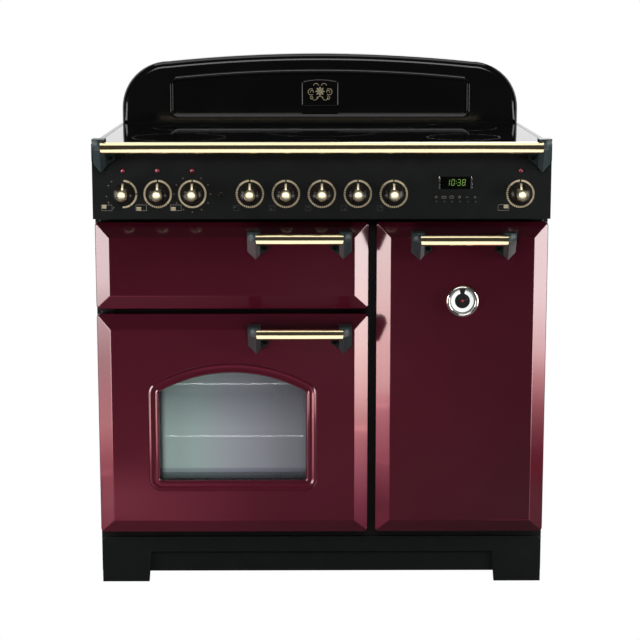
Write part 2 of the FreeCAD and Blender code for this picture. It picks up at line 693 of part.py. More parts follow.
SHELF_LENGTH = f"({CHAMBER_DEPTH} - shelf_front - shelf_back_gap)"


def front_frame():
    frame = body("front_frame_body")
    plate = sketch(frame, "front_frame_plate", "front", deep("frame_depth"))
    rectangle(plate, f"-{INNER_HALF}", INNER_HALF, "chassis_foot", PANEL_FLOOR)
    for left, right, low, high in CHAMBERS.values():
        rectangle(plate, left, right, low, high, "frame_radius")
    pad(frame, "front_frame_pad", plate, "frame_plate", True)
    node("front_frame", frame)


def chambers():
    for name, (left, right, low, high) in CHAMBERS.items():
        shell = body(f"{name}_chamber")
        mouth = sketch(shell, f"{name}_flange", "front", MOUTH)
        rectangle(mouth, f"({left} - chamber_flange)", f"({right} + chamber_flange)",
                  f"({low} - chamber_flange)", f"({high} + chamber_flange)")
        pad(shell, f"{name}_flange_pad", mouth, "chamber_wall", True)
        wall = sketch(shell, f"{name}_outside", "front", MOUTH)
        rectangle(wall, f"({left} - chamber_wall)", f"({right} + chamber_wall)",
                  f"({low} - chamber_wall)", f"({high} + chamber_wall)", "(frame_radius + chamber_wall)")
        pad(shell, f"{name}_outside_pad", wall, f"{CHAMBER_DEPTH} + chamber_wall", True)
        inside = sketch(shell, f"{name}_inside", "front", MOUTH)
        rectangle(inside, left, right, low, high, "frame_radius")
        pocket(shell, f"{name}_inside_cut", inside, CHAMBER_DEPTH)
        if name != "grill":
            hole = sketch(shell, f"{name}_shaft_hole", "front", CHAMBER_BACK)
            circle(hole, f"(({left} + {right}) / 2)", fan_level(name), "fan_hub / 2")
            pocket(shell, f"{name}_shaft_hole_cut", hole, "chamber_wall + cut_over")
        node(f"{name}_cavity", shell)


def fan_level(name):
    left, right, low, high = CHAMBERS[name]
    return f"(({low} + {high}) / 2)"


# Hob: a pressed tray, the ceramic glass and the radiant elements under it.
def hob():
    front = deep("panel_lip")
    back = deep("hob_depth")
    glass_front = f"({front} + hob_front_trim)"
    glass_back = f"({back} - hob_front_trim)"
    glass_half = f"({HALF} - hob_trim)"
    glass_floor = f"({HOB_TOP} - glass_thick)"
    tray = body("hob_tray")
    outer = sketch(tray, "hob_tray_outside", "floor", TRAY_FLOOR)
    rectangle(outer, f"-{HALF}", HALF, front, back)
    pad(tray, "hob_tray_pad", outer, "hob_tray_height")
    seat = sketch(tray, "hob_glass_seat", "floor", glass_floor)
    rectangle(seat, f"-{glass_half}", glass_half, glass_front, glass_back, "glass_radius")
    pocket(tray, "hob_glass_seat_cut", seat, "glass_thick + cut_over", True)
    well = sketch(tray, "hob_tray_well", "floor", f"{TRAY_FLOOR} + tray_wall")
    rectangle(well, f"-{glass_half} + hob_trim", f"{glass_half} - hob_trim",
              f"{glass_front} + hob_trim", f"{glass_back} - hob_trim", "glass_radius")
    pocket(tray, "hob_tray_well_cut", well, "hob_tray_height", True)
    fold = sketch(tray, "hob_tray_fold", "floor", TRAY_FLOOR)
    rectangle(fold, f"-{HALF} + tray_wall", f"{HALF} - tray_wall", f"{front} + tray_wall", f"{back} - tray_wall")
    rectangle(fold, f"-{glass_half} + hob_trim - tray_wall", f"{glass_half} - hob_trim + tray_wall",
              f"{glass_front} + hob_trim - tray_wall", f"{glass_back} - hob_trim + tray_wall")
    pocket(tray, "hob_tray_fold_cut", fold, "hob_tray_height - glass_thick - tray_wall", True)
    node("hob_frame", tray)
    glass = body("hob_glass_body")
    pane = sketch(glass, "hob_glass_pane", "floor", glass_floor)
    rectangle(pane, f"-{glass_half}", glass_half, glass_front, glass_back, "glass_radius")
    pad(glass, "hob_glass_pad", pane, "glass_thick")
    node("hob_glass", glass)
    across = f"({HALF} - zone_side_inset)"
    far = "(hob_depth - zone_back_gap)"
    zones = [
        ("front_left", f"-{across}", "zone_front", "medium_zone"),
        ("back_left", f"-{across}", far, "small_zone"),
        ("middle", "0", f"(zone_front + {far}) / 2", "large_zone"),
        ("back_right", across, far, "medium_zone"),
        ("front_right", across, "zone_front", "small_zone"),
    ]
    elements = []
    for name, x, y, radius in zones:
        floor = f"({TRAY_FLOOR} + tray_wall)"
        y = deep(y)
        dish = rod(f"element_{name}_dish", "z", x, y, floor, radius, f"{glass_floor} - {floor}")
        hollow = rod(f"element_{name}_hollow", "z", x, y, f"{floor} + element_base",
                     f"{radius} - element_rim", f"{glass_floor} - {floor}")
        elements.append(cut(f"element_{name}", dish, hollow))
    node("hob_elements", group("elements", elements))


# Splashback: a cambered top between round shoulders, with an embossed recess and plaque.
def splashback():
    half = f"({HALF} - splash_side_gap)"
    front = deep("hob_depth")
    drop = "(splash_shoulder - splash_side)"
    rise = "(splash_height - splash_shoulder)"
    flat_half = f"({half} - {drop})"
    top_radius = f"(({flat_half} * {flat_half} + {rise} * {rise}) / (2 * {rise}))"
    level = f"({HOB_TOP} + splash_shoulder)"

    def profile(drawing, inset):
        outline(drawing, [
            (f"-{half} + {inset}", TRAY_FLOOR), (f"{half} - {inset}", TRAY_FLOOR),
            (f"{half} - {inset}", f"{HOB_TOP} + splash_side", f"({drop} - {inset})", 1),
            (flat_half, f"{level} - {inset}", f"({top_radius} - {inset})", 1),
            (f"-{flat_half}", f"{level} - {inset}", f"({drop} - {inset})", 1),
            (f"-{half} + {inset}", f"{HOB_TOP} + splash_side")])

    piece = body("splashback_body")
    rear = sketch(piece, "splash_rear", "front", f"{front} + splash_round")
    profile(rear, "0")
    pad(piece, "splash_rear_pad", rear, "splash_thick - splash_round", True)
    steps = 4
    for index in range(steps):
        angle = f"(90 * {index} / {steps})"
        next_angle = f"(90 * {index + 1} / {steps})"
        first = sketch(piece, f"splash_round_{index}", "front",
                       f"{front} + splash_round * (1 - sin({angle}))")
        profile(first, f"(splash_round * (1 - cos({angle})))")
        last = sketch(piece, f"splash_round_{index}_end", "front",
                      f"{front} + splash_round * (1 - sin({next_angle}))")
        profile(last, f"(splash_round * (1 - cos({next_angle})))")
        loft(piece, "AdditiveLoft", f"splash_edge_{index}", first, last)
    crown = "(recess_crown - recess_side)"
    edge = f"({half} - recess_inset)"
    inner = f"({edge} - recess_corner)"
    arch = f"(({inner} * {inner} + {crown} * {crown}) / (2 * {crown}))"
    floor = f"({HOB_TOP} + recess_floor)"
    side = f"({HOB_TOP} + recess_side)"
    recess = sketch(piece, "splash_recess", "front", front)
    outline(recess, [
        (f"-{inner}", floor), (inner, floor, "recess_corner", 1),
        (edge, f"{floor} + recess_corner"),
        (edge, f"{side} - recess_corner", "recess_corner", 1),
        (inner, side, arch, 1), (f"-{inner}", side, "recess_corner", 1),
        (f"-{edge}", f"{side} - recess_corner"),
        (f"-{edge}", f"{floor} + recess_corner", "recess_corner", 1)])
    pocket(piece, "splash_recess_cut", recess, "recess_depth")
    plaque_floor = f"({HOB_TOP} + plaque_floor)"
    plaque_top = f"({plaque_floor} + plaque_height - plaque_rise)"
    plaque_arch = "((plaque_half * plaque_half + plaque_rise * plaque_rise) / (2 * plaque_rise))"
    plaque = sketch(piece, "splash_plaque", "front", f"{front} + recess_depth")
    outline(plaque, [
        ("-1 * plaque_half", plaque_floor), ("plaque_half", plaque_floor),
        ("plaque_half", plaque_top, plaque_arch, 1), ("-1 * plaque_half", plaque_top)])
    pad(piece, "splash_plaque_pad", plaque, "plaque_proud")
    back = deep("hob_depth + splash_thick - splash_wall")
    hollow = sketch(piece, "splash_hollow", "front", back)
    profile(hollow, "(splash_round + splash_wall)")
    pocket(piece, "splash_hollow_cut", hollow, "splash_thick - recess_depth - splash_wall * 2", True)
    rim = sketch(piece, "splash_rim_hollow", "front", back)
    profile(rim, "splash_wall")
    pocket(piece, "splash_rim_hollow_cut", rim, "splash_thick - splash_round - splash_wall * 2", True)
    node("splashback", piece)


# Control panel: a folded front with holes for the controls.
def knob_places():
    """Name and X of each knob, from left to right."""
    outer = f"({HALF} - knob_side_inset)"
    pitch = "cooker_width * oven_knob_share"
    places = [("grill_knob", f"-{outer}"),
              ("left_oven_function_knob", f"(-{outer} + {pitch})"),
              ("left_oven_heat_knob", f"(-{outer} + 2 * {pitch})")]
    hob = ("front_left", "back_left", "middle", "back_right", "front_right")
    for index, zone in enumerate(hob):
        places.append((f"{zone}_hob_knob", f"({index - 2} * cooker_width * hob_knob_share)"))
    places.append(("right_oven_heat_knob", outer))
    return places


def lamp_places():
    knobs = dict(knob_places())
    return [knobs[name] for name in ("grill_knob", "left_oven_function_knob",
                                     "left_oven_heat_knob", "right_oven_heat_knob")]


DISPLAY_LEFT = "(cooker_width * display_share)"
LIGHT_BUTTON = "(-1 * cooker_width * light_button_share)"
DISPLAY = (DISPLAY_LEFT, f"({DISPLAY_LEFT} + display_width)",
           f"({PANEL_FLOOR} + display_floor)", f"({PANEL_FLOOR} + display_floor + display_height)")
CLOCK_BUTTON_LEVEL = f"({PANEL_FLOOR} + clock_button_level)"


def clock_button_x(index):
    return f"({DISPLAY_LEFT} - clock_button_lead + {index} * clock_button_pitch)"


def control_panel():
    half = f"({HALF} - panel_side_gap)"
    piece = body("control_panel_body")
    skin = sketch(piece, "panel_front", "front", deep("0"))
    rectangle(skin, f"-{half}", half, PANEL_FLOOR, HOB_TOP)
    for name, x in knob_places():
        circle(skin, x, KNOB_LEVEL, "shaft_hole")
    for x in lamp_places():
        circle(skin, x, f"({PANEL_FLOOR} + lamp_level)", "(lamp_body + button_clearance)")
    circle(skin, LIGHT_BUTTON, KNOB_LEVEL, "(light_button_radius + button_clearance)")
    rectangle(skin, *DISPLAY, "display_corner")
    for index in range(6):
        circle(skin, clock_button_x(index), CLOCK_BUTTON_LEVEL, "(clock_button_radius + button_clearance)")
    pad(piece, "panel_front_pad", skin, "panel_skin", True)
    rim = sketch(piece, "panel_rim", "front", deep("0"))
    rectangle(rim, f"-{half}", half, PANEL_FLOOR, HOB_TOP)
    rectangle(rim, f"-{half} + panel_skin", f"{half} - panel_skin",
              f"{PANEL_FLOOR} + panel_skin", f"{HOB_TOP} - panel_skin")
    pad(piece, "panel_rim_pad", rim, "panel_lip", True)
    cheeks = sketch(piece, "panel_cheeks", "front", deep("0"))
    outline(cheeks, [
        (f"-{half}", PANEL_FLOOR), (half, PANEL_FLOOR), (half, TRAY_FLOOR),
        (f"{half} - panel_skin", TRAY_FLOOR), (f"{half} - panel_skin", f"{PANEL_FLOOR} + panel_skin"),
        (f"-{half} + panel_skin", f"{PANEL_FLOOR} + panel_skin"),
        (f"-{half} + panel_skin", TRAY_FLOOR), (f"-{half}", TRAY_FLOOR)])
    pad(piece, "panel_cheeks_pad", cheeks, "frame_depth", True)
    node("control_panel", piece)


def knob_switches():
    """A switch body behind each knob, and the light button's switch."""
    switches = []
    back = deep("panel_skin")
    for name, x in knob_places():
        case = box(f"{name}_switch_case", (f"{x} - switch_size / 2", f"{x} + switch_size / 2"),
                   (back, f"{back} + switch_depth"),
                   (f"{KNOB_LEVEL} - switch_size / 2", f"{KNOB_LEVEL} + switch_size / 2"))
        bore = rod(f"{name}_switch_bore", "y", x, f"{back} - cut_over", KNOB_LEVEL,
                   "shaft_radius + shaft_clearance", "shaft_length + cut_over")
        switches.append(cut(f"{name}_switch", case, bore))
    x = LIGHT_BUTTON
    case = box("light_switch_case", (f"{x} - light_button_radius * 2", f"{x} + light_button_radius * 2"),
               (back, f"{back} + switch_depth"),
               (f"{KNOB_LEVEL} - light_button_radius * 3", f"{KNOB_LEVEL} + light_button_radius * 3"))
    bore = rod("light_switch_bore", "y", x, f"{back} - cut_over", KNOB_LEVEL,
               "light_button_radius + button_clearance",
               "cut_over + clock_button_bore + light_button_travel * 2")
    switches.append(cut("light_switch", case, bore))
    node("knob_switches", group("switches", switches))


def indicator_lamps():
    lamps = []
    for index, x in enumerate(lamp_places()):
        lamps.append(turned(f"lamp_{index}", x, deep("0"), f"{PANEL_FLOOR} + lamp_level", [
            ("0", "-1 * lamp_proud", "(lamp_radius * lamp_radius + lamp_proud * lamp_proud) / (2 * lamp_proud)", 1),
            ("lamp_radius", "0"), ("lamp_body", "0"), ("lamp_body", "lamp_length"), ("0", "lamp_length")]))
    node("indicator_lamps", group("lamps", lamps))


def clock():
    left, right, low, high = DISPLAY
    back = deep("panel_skin")
    module = body("clock_body")
    case = sketch(module, "clock_case", "front", back)
    first = clock_button_x(0)
    last = clock_button_x(5)
    rectangle(case, f"{first} - clock_margin", f"{last} + clock_margin",
              f"{CLOCK_BUTTON_LEVEL} - clock_margin", f"{high} + clock_margin")
    pad(module, "clock_case_pad", case, "clock_depth", True)
    face = sketch(module, "clock_face", "front", deep("0"))
    rectangle(face, left, right, low, high, "display_corner")
    pad(module, "clock_face_pad", face, "panel_skin", True)
    bores = sketch(module, "clock_bores", "front", back)
    for index in range(6):
        circle(bores, clock_button_x(index), CLOCK_BUTTON_LEVEL, "(clock_button_radius + button_clearance)")
    pocket(module, "clock_bores_cut", bores, "clock_button_bore")
    node("clock_module", module)
    for index in range(6):
        button = turned(f"clock_button_{index + 1}_body", clock_button_x(index), deep("0"),
                        CLOCK_BUTTON_LEVEL, button_profile("clock_button_radius", "clock_button_proud",
                                                           "clock_button_length"))
        node(f"clock_button_{index + 1}", button)


def button_profile(radius, proud, length):
    """A turned push button with a slightly domed cap."""
    dome = f"({proud} / 4)"
    return [("0", f"-1 * {proud}", f"({radius} * {radius} + {dome} * {dome}) / (2 * {dome})", 1),
            (radius, f"-1 * {proud} + {dome}"), (radius, length), ("0", length)]


def light_button():
    node("light_button", turned("light_button_body", LIGHT_BUTTON, deep("0"), KNOB_LEVEL,
                                button_profile("light_button_radius", "light_button_proud",
                                               "clock_button_bore")))


def knobs():
    """Each knob is a dark skirt with its shaft, and a brass grip on a neck."""
    for name, x in knob_places():
        front = "(skirt_gap + skirt_depth)"
        skirt = turned(f"{name}_skirt", x, deep("0"), KNOB_LEVEL, [
            ("0", f"-1 * {front}"), ("neck_radius", f"-1 * {front}"),
            ("skirt_shoulder", f"-1 * {front} + skirt_depth / 2"), ("skirt_radius", "-1 * skirt_gap"),
            ("shaft_radius", "-1 * skirt_gap"), ("shaft_radius", "shaft_length"), ("0", "shaft_length")])
        tip = f"({front} + neck_length + grip_length)"
        crown = "((grip_radius * grip_radius + grip_crown * grip_crown) / (2 * grip_crown))"
        grip = turned(f"{name}_grip", x, deep("0"), KNOB_LEVEL, [
            ("0", f"-1 * {tip}", crown, 1), ("grip_radius", f"-1 * {tip} + grip_crown"),
            ("grip_radius", f"-1 * {front} - neck_length + grip_crown"),
            ("neck_radius", f"-1 * {front} - neck_length"), ("neck_radius", f"-1 * {front}"),
            ("0", f"-1 * {front}")])
        node(name, group(f"{name}_pieces", [skirt, grip]))


# A cast handle post: a hipped block from its foot on the face to the bar.
def post(name, left, middle, out, radius, share):
    """The left post of a pair. Its facets meet at a ridge, highest at the peak."""
    cast = body(f"{name}_cast")
    right = f"({left} + post_width)"
    ridge = f"({left} + post_ridge)"
    reach = f"({out} + {radius} + post_wall)"
    top = f"({middle} + post_rise * {share})"
    toe = f"({middle} - post_drop * {share})"
    sections = []
    for title, level, outer, crest, inner in (
            ("top", top, "post_top_outer", "(post_top_outer + post_top_inner) / 2", "post_top_inner"),
            ("peak", f"({middle} - post_peak_drop)", "post_peak_outer", reach, "post_peak_inner"),
            ("toe", toe, "post_toe_outer", "post_toe_ridge", "post_toe_inner")):
        drawing = sketch(cast, f"{name}_{title}", "floor", level)
        outline(drawing, [
            (left, deep("0")), (left, deep(f"(-1 * {outer})")), (ridge, deep(f"(-1 * ({crest}))")),
            (right, deep(f"(-1 * {inner})")), (right, deep("0"))])
        sections.append(drawing)
    block = loft(cast, "AdditiveLoft", f"{name}_facets", sections[0], sections[1])
    block.Sections = sections[1:]
    chin = sketch(cast, f"{name}_chin", "front", deep(f"(-1 * {reach} - cut_over)"))
    for side, drop in ((left, f"post_outer_drop * {share}"), (right, f"post_inner_drop * {share}")):
        corners = [(ridge, toe), (side, f"({middle} - {drop})"), (side, f"({toe} - cut_over)"),
                   (ridge, f"({toe} - cut_over)")]
        outline(chin, corners if side == left else corners[::-1])
    pocket(cast, f"{name}_chin_cut", chin, f"{reach} + cut_over * 2")
    lug = sketch(cast, f"{name}_lug", "front", deep("0"))
    far = f"({right} + lug_width)"
    lug_top = f"({middle} - lug_drop * {share})"
    outline(lug, [(ridge, f"({lug_top} - lug_height)"), (right, f"({lug_top} - lug_height)"),
                  (far, f"({lug_top} - lug_height / 2)"), (far, lug_top), (ridge, lug_top)])
    pad(cast, f"{name}_lug_pad", lug, "lug_thick")
    hole = sketch(cast, f"{name}_lug_hole", "front", deep("(-1 * lug_thick)"))
    circle(hole, f"(({right} + {far}) / 2)", f"({lug_top} - lug_height * lug_hole_share)", "lug_hole")
    pocket(cast, f"{name}_lug_hole_cut", hole, "lug_hole_depth")
    socket = rod(f"{name}_socket", "x", ridge, deep(f"(-1 * {out})"), middle, f"{radius} + bar_clearance",
                 "post_width")
    return cut(f"{name}_post", cast, socket)


def handle(door, left, middle):
    """A bar between two posts on a door. left is the left end of the handle."""
    first = post(f"{door}_left", left, middle, "bar_out", "bar_radius", "1")
    other = mirrored(f"{door}_right_post", first, "x", f"{left} + handle_length / 2")
    node(f"{door}_handle_posts", group(f"{door}_posts", [first, other]))
    bar = rod(f"{door}_bar", "x", f"{left} + post_ridge", deep("(-1 * bar_out)"), middle, "bar_radius",
              "handle_length - post_ridge * 2")
    node(f"{door}_handle_bar", bar)


def hand_rail():
    middle = f"({HOB_TOP} - rail_below_top)"
    left = f"(rail_inset - post_width - {HALF})"
    first = post("rail_left", left, middle, "rail_out", "rail_radius", "bracket_share")
    node("rail_brackets", both_sides("rail_bracket_pair", first))
    rail = rod("rail_tube", "x", f"{left} + post_ridge", deep("(-1 * rail_out)"), middle, "rail_radius",
               f"({HALF} - rail_inset + post_width - post_ridge) * 2")
    node("hand_rail", rail)


# Doors: each skin is one pressing with a bevel all round its flat face.
def door_skin(name, left, right, low, high):
    panel = body(f"{name}_skin")

    def frame(title, y, inset, corner):
        drawing = sketch(panel, f"{name}_{title}", "front", deep(y))
        rectangle(drawing, f"({left} + {inset})", f"({right} - {inset})",
                  f"({low} + {inset})", f"({high} - {inset})", corner)
        return drawing

    back = "(door_thick - liner_thick)"
    slant = "(door_skin * sqrt(bevel_width * bevel_width + bevel_depth * bevel_depth) / bevel_depth)"
    wall = frame("wall", "bevel_depth", "0", "door_corner")
    pad(panel, f"{name}_wall_pad", wall, f"{back} - bevel_depth", True)
    loft(panel, "AdditiveLoft", f"{name}_bevel", frame("bevel_foot", "bevel_depth", "0", "door_corner"),
         frame("bevel_face", "0", "bevel_width", "face_corner"))
    turn = f"(bevel_depth * (1 + ({slant} - door_skin) / bevel_width))"
    face_inset = f"(bevel_width + {slant} - door_skin * bevel_width / bevel_depth)"
    hollow = frame("hollow", back, "door_skin", "(door_corner - door_skin)")
    pocket(panel, f"{name}_hollow_cut", hollow, f"{back} - {turn}", True)
    loft(panel, "SubtractiveLoft", f"{name}_bevel_hollow",
         frame("hollow_foot", turn, "door_skin", "(door_corner - door_skin)"),
         frame("hollow_face", "door_skin", face_inset, "face_corner"))
    return panel


def hinge_holes(panel, name, x, low, high):
    """Holes for the hinge pins in the bottom and top walls of a door."""
    for place, level, flip in (("bottom", low, True), ("top", high, False)):
        hole = sketch(panel, f"{name}_{place}_hole", "floor", level)
        circle(hole, x, deep("hinge_depth"), "(pin_radius + pin_clearance)")
        pocket(panel, f"{name}_{place}_hole_cut", hole, "pin_engage * 2", flip)


def liner(name, left, right, low, high, opening=None, x=None):
    """The flat inner face of a door, just behind its skin."""
    piece = body(f"{name}_liner_body")
    drawing = sketch(piece, f"{name}_liner_plate", "front", deep("(door_thick - liner_thick)"))
    rectangle(drawing, f"({left} + liner_inset)", f"({right} - liner_inset)",
              f"({low} + liner_inset)", f"({high} - liner_inset)", "(door_corner - liner_inset)")
    if opening:
        rectangle(drawing, *opening, "glass_corner")
    pad(piece, f"{name}_liner_pad", drawing, "liner_thick", True)
    return piece


# The arched window. Insets are counted from the outer edge of the emboss.
WINDOW_LEFT = f"({LEFT_EDGE} + window_inset)"
WINDOW_RIGHT = f"({LEFT_DOOR_END} - window_far_inset)"
WINDOW_LOW = "(door_floor + window_floor)"


def arched(drawing, inset, corner):
    left = f"({WINDOW_LEFT} + {inset})"
    right = f"({WINDOW_RIGHT} - {inset})"
    low = f"({WINDOW_LOW} + {inset})"
    shoulder = f"({WINDOW_LOW} + window_shoulder - {inset})"
    half = f"(({WINDOW_RIGHT} - {WINDOW_LEFT}) / 2 - {inset} - {corner})"
    arch = f"(({half} * {half} + window_rise * window_rise) / (2 * window_rise))"
    outline(drawing, [
        (f"({left} + {corner})", low), (f"({right} - {corner})", low, corner, 1),
        (right, f"({low} + {corner})"), (right, f"({shoulder} - {corner})", corner, 1),
        (f"({right} - {corner})", shoulder, arch, 1), (f"({left} + {corner})", shoulder, corner, 1),
        (left, f"({shoulder} - {corner})"), (left, f"({low} + {corner})", corner, 1)])


GLASS_INSET = "(bead_width + groove_width + inner_bead)"


def left_oven_door():
    left, right, low, high = LEFT_EDGE, LEFT_DOOR_END, "door_floor", OVEN_TOP
    panel = door_skin("left_door", left, right, low, high)
    hinge_holes(panel, "left_door", f"({left} + hinge_across)", low, high)
    backing = sketch(panel, "window_backing", "front", deep("0"))
    arched(backing, "bead_width / 2", "(window_corner - bead_width / 2)")
    pad(panel, "window_backing_pad", backing, "door_skin + groove_depth", True)

    def rung(title, inset, level):
        drawing = sketch(panel, f"window_{title}", "front", deep(level))
        arched(drawing, inset, f"(window_corner - ({inset}) * corner_share)")
        return drawing

    top = "(-1 * bead_height)"
    floor = "groove_depth"
    crest = "(-1 * inner_bead_height)"
    groove_start = "(bead_width - bead_slope)"
    lip_start = "(bead_width + groove_width)"
    loft(panel, "AdditiveLoft", "window_outer_bead", rung("bead_foot", "0", "0"), rung("bead_top", "bead_slope", top))
    loft(panel, "SubtractiveLoft", "window_groove", rung("groove_top", groove_start, top),
         rung("groove_floor", f"({groove_start} + groove_width)", floor))
    loft(panel, "AdditiveLoft", "window_inner_bead", rung("lip_foot", lip_start, floor),
         rung("lip_top", f"({lip_start} + bead_slope)", crest))
    loft(panel, "SubtractiveLoft", "window_opening", rung("opening_top", f"({GLASS_INSET} - bead_slope)", crest),
         rung("opening_floor", GLASS_INSET, "door_skin + groove_depth + cut_over"))
    node("left_door_panel", panel)
    glass_front = "(door_skin + groove_depth)"
    pane = body("left_window_glass")
    drawing = sketch(pane, "window_pane", "front", deep(glass_front))
    arched(drawing, f"({GLASS_INSET} - window_lap)", "glass_corner")
    pad(pane, "window_pane_pad", drawing, "window_glass", True)
    node("left_door_window", pane)
    frame = (f"({WINDOW_LEFT} + {GLASS_INSET})", f"({WINDOW_RIGHT} - {GLASS_INSET})",
             f"({WINDOW_LOW} + {GLASS_INSET})",
             f"({WINDOW_LOW} + window_shoulder + window_rise - {GLASS_INSET})")
    node("left_door_liner", liner("left_door", left, right, low, high, frame))
    inner = body("left_inner_glass")
    drawing = sketch(inner, "inner_pane", "front", deep("(door_thick - liner_thick - window_glass)"))
    x0, x1, z0, z1 = frame
    rectangle(drawing, f"({x0} - inner_glass_lap)", f"({x1} + inner_glass_lap)",
              f"({z0} - inner_glass_lap)", f"({z1} + inner_glass_lap)", "glass_corner")
    pad(inner, "inner_pane_pad", drawing, "window_glass", True)
    node("left_door_inner_glass", inner)
    handle("left_door", f"({right} - left_handle_inset - handle_length)", f"({high} - oven_bar_drop)")


def grill_door():
    left, right, low, high = LEFT_EDGE, LEFT_DOOR_END, GRILL_FLOOR, DOOR_TOP
    panel = door_skin("grill_door", left, right, low, high)
    hinge_holes(panel, "grill_door", f"({left} + hinge_across)", low, high)
    node("grill_door_panel", panel)
    node("grill_door_liner", liner("grill_door", left, right, low, high))
    handle("grill_door", f"({right} - left_handle_inset - handle_length)", f"({high} - grill_bar_drop)")


GAUGE_X = f"(({RIGHT_DOOR_START} + {OUTER_EDGE}) / 2)"
GAUGE_Z = f"({DOOR_TOP} - gauge_drop)"


def right_oven_door():
    left, right, low, high = RIGHT_DOOR_START, OUTER_EDGE, "door_floor", DOOR_TOP
    panel = door_skin("right_door", left, right, low, high)
    hinge_holes(panel, "right_door", f"({right} - hinge_across)", low, high)
    hole = sketch(panel, "gauge_hole", "front", deep("0"))
    circle(hole, GAUGE_X, GAUGE_Z, "gauge_body")
    pocket(panel, "gauge_hole_cut", hole, "door_skin + cut_over")
    node("right_door_panel", panel)
    node("right_door_liner", liner("right_door", left, right, low, high))
    handle("right_door", f"({GAUGE_X} - handle_length / 2)", f"({high} - tall_bar_drop)")
    dial = "(gauge_proud - gauge_dish)"
    case = turned("thermometer_case_body", GAUGE_X, deep("0"), GAUGE_Z, [
        ("(needle_shaft + pin_clearance)", f"-1 * {dial}"), ("(gauge_radius - gauge_rim)", f"-1 * {dial}"),
        ("(gauge_radius - gauge_rim)", "-1 * gauge_proud + gauge_rim * rim_edge_share"),
        ("(gauge_radius - gauge_rim * (1 - rim_edge_share))", "-1 * gauge_proud"),
        ("(gauge_radius - gauge_rim * rim_edge_share)", "-1 * gauge_proud"),
        ("gauge_radius", "-1 * gauge_proud + gauge_rim / 2"), ("gauge_radius", "0"),
        ("gauge_body", "0"), ("gauge_body", "gauge_deep"),
        ("(needle_shaft + pin_clearance)", "gauge_deep")])
    node("thermometer_case", case)
    hub = turned("needle_hub_body", GAUGE_X, deep("0"), GAUGE_Z, [
        ("0", f"-1 * {dial} - needle_thick * 3"), ("(needle_hub / 2)", f"-1 * {dial} - needle_thick * 3"),
        ("needle_hub", f"-1 * {dial} - needle_thick * 2"), ("needle_hub", f"-1 * {dial} - needle_thick / 2"),
        ("needle_shaft", f"-1 * {dial} - needle_thick / 2"), ("needle_shaft", "gauge_deep"),
        ("0", "gauge_deep")])
    blade = body("needle_blade")
    drawing = sketch(blade, "needle_outline", "front", deep(f"(-1 * {dial} - needle_thick * 2)"))
    outline(drawing, [
        (f"{GAUGE_X} + needle_hub / 2", f"{GAUGE_Z} - needle_width / 2"),
        (f"{GAUGE_X} + needle_length", f"{GAUGE_Z} + needle_length * needle_lift_share"),
        (GAUGE_X, f"{GAUGE_Z} + needle_width")])
    pad(blade, "needle_blade_pad", drawing, "needle_thick", True)
    node("thermometer_needle", fuse("needle", hub, blade))


# Hinges: a plate in each gap on the hinge side, with pins into the doors.
def hinges():
    pieces = []
    pin_left = f"({LEFT_EDGE} + hinge_across)"
    pin_right = f"({OUTER_EDGE} - hinge_across)"
    top_plate = f"({DOOR_TOP} + top_reveal / 2 - hinge_plate / 2)"
    middle_plate = f"({OVEN_TOP} + door_gap / 2 - hinge_plate / 2)"
    bottom_plate = "(door_floor - hinge_plate * 2)"
    layout = [
        ("left_top", pin_left, top_plate, False, True), ("left_middle", pin_left, middle_plate, True, True),
        ("left_bottom", pin_left, bottom_plate, True, False),
        ("right_top", pin_right, top_plate, False, True), ("right_bottom", pin_right, bottom_plate, True, False),
    ]
    for name, x, level, up, down in layout:
        near = f"({x} - pin_radius * 2)" if "left" in name else f"({x} + pin_radius * 2 - hinge_plate_width)"
        plate = box(f"hinge_{name}_plate", (near, f"{near} + hinge_plate_width"),
                    (deep("(hinge_depth - hinge_nose)"), deep("frame_depth")), (level, f"{level} + hinge_plate"))
        parts = [plate]
        if up:
            rise = "(door_gap / 2 - hinge_plate / 2)" if name == "left_middle" else "hinge_plate"
            parts.append(rod(f"hinge_{name}_pin_up", "z", x, deep("hinge_depth"), level, "pin_radius",
                             f"hinge_plate + {rise} + pin_engage"))
        if down:
            gap = "door_gap" if name == "left_middle" else "top_reveal"
            fall = f"({gap} / 2 - hinge_plate / 2)"
            parts.append(rod(f"hinge_{name}_pin_down", "z", x, deep("hinge_depth"),
                             f"{level} - {fall} - pin_engage", "pin_radius",
                             f"{fall} + pin_engage + hinge_plate"))
        pieces.append(fuse(f"hinge_{name}", *parts))
    node("hinge_brackets", group("hinge_set", pieces))


def door_seals():
    rings = []
    for name, (left, right, low, high) in CHAMBERS.items():
        ring = body(f"{name}_seal")
        drawing = sketch(ring, f"{name}_seal_ring", "front", deep("(door_thick + seal_gap)"))
        near = "seal_margin"
        far = "(seal_margin + seal_width)"
        for inset, corner in ((far, f"(frame_radius + {far})"), (near, f"(frame_radius + {near})")):
            rectangle(drawing, f"({left} - {inset})", f"({right} + {inset})",
                      f"({low} - {inset})", f"({high} + {inset})", corner)
        pad(ring, f"{name}_seal_pad", drawing, "frame_depth - door_thick - seal_gap", True)
        rings.append(ring)
    node("door_seals", group("seal_set", rings))


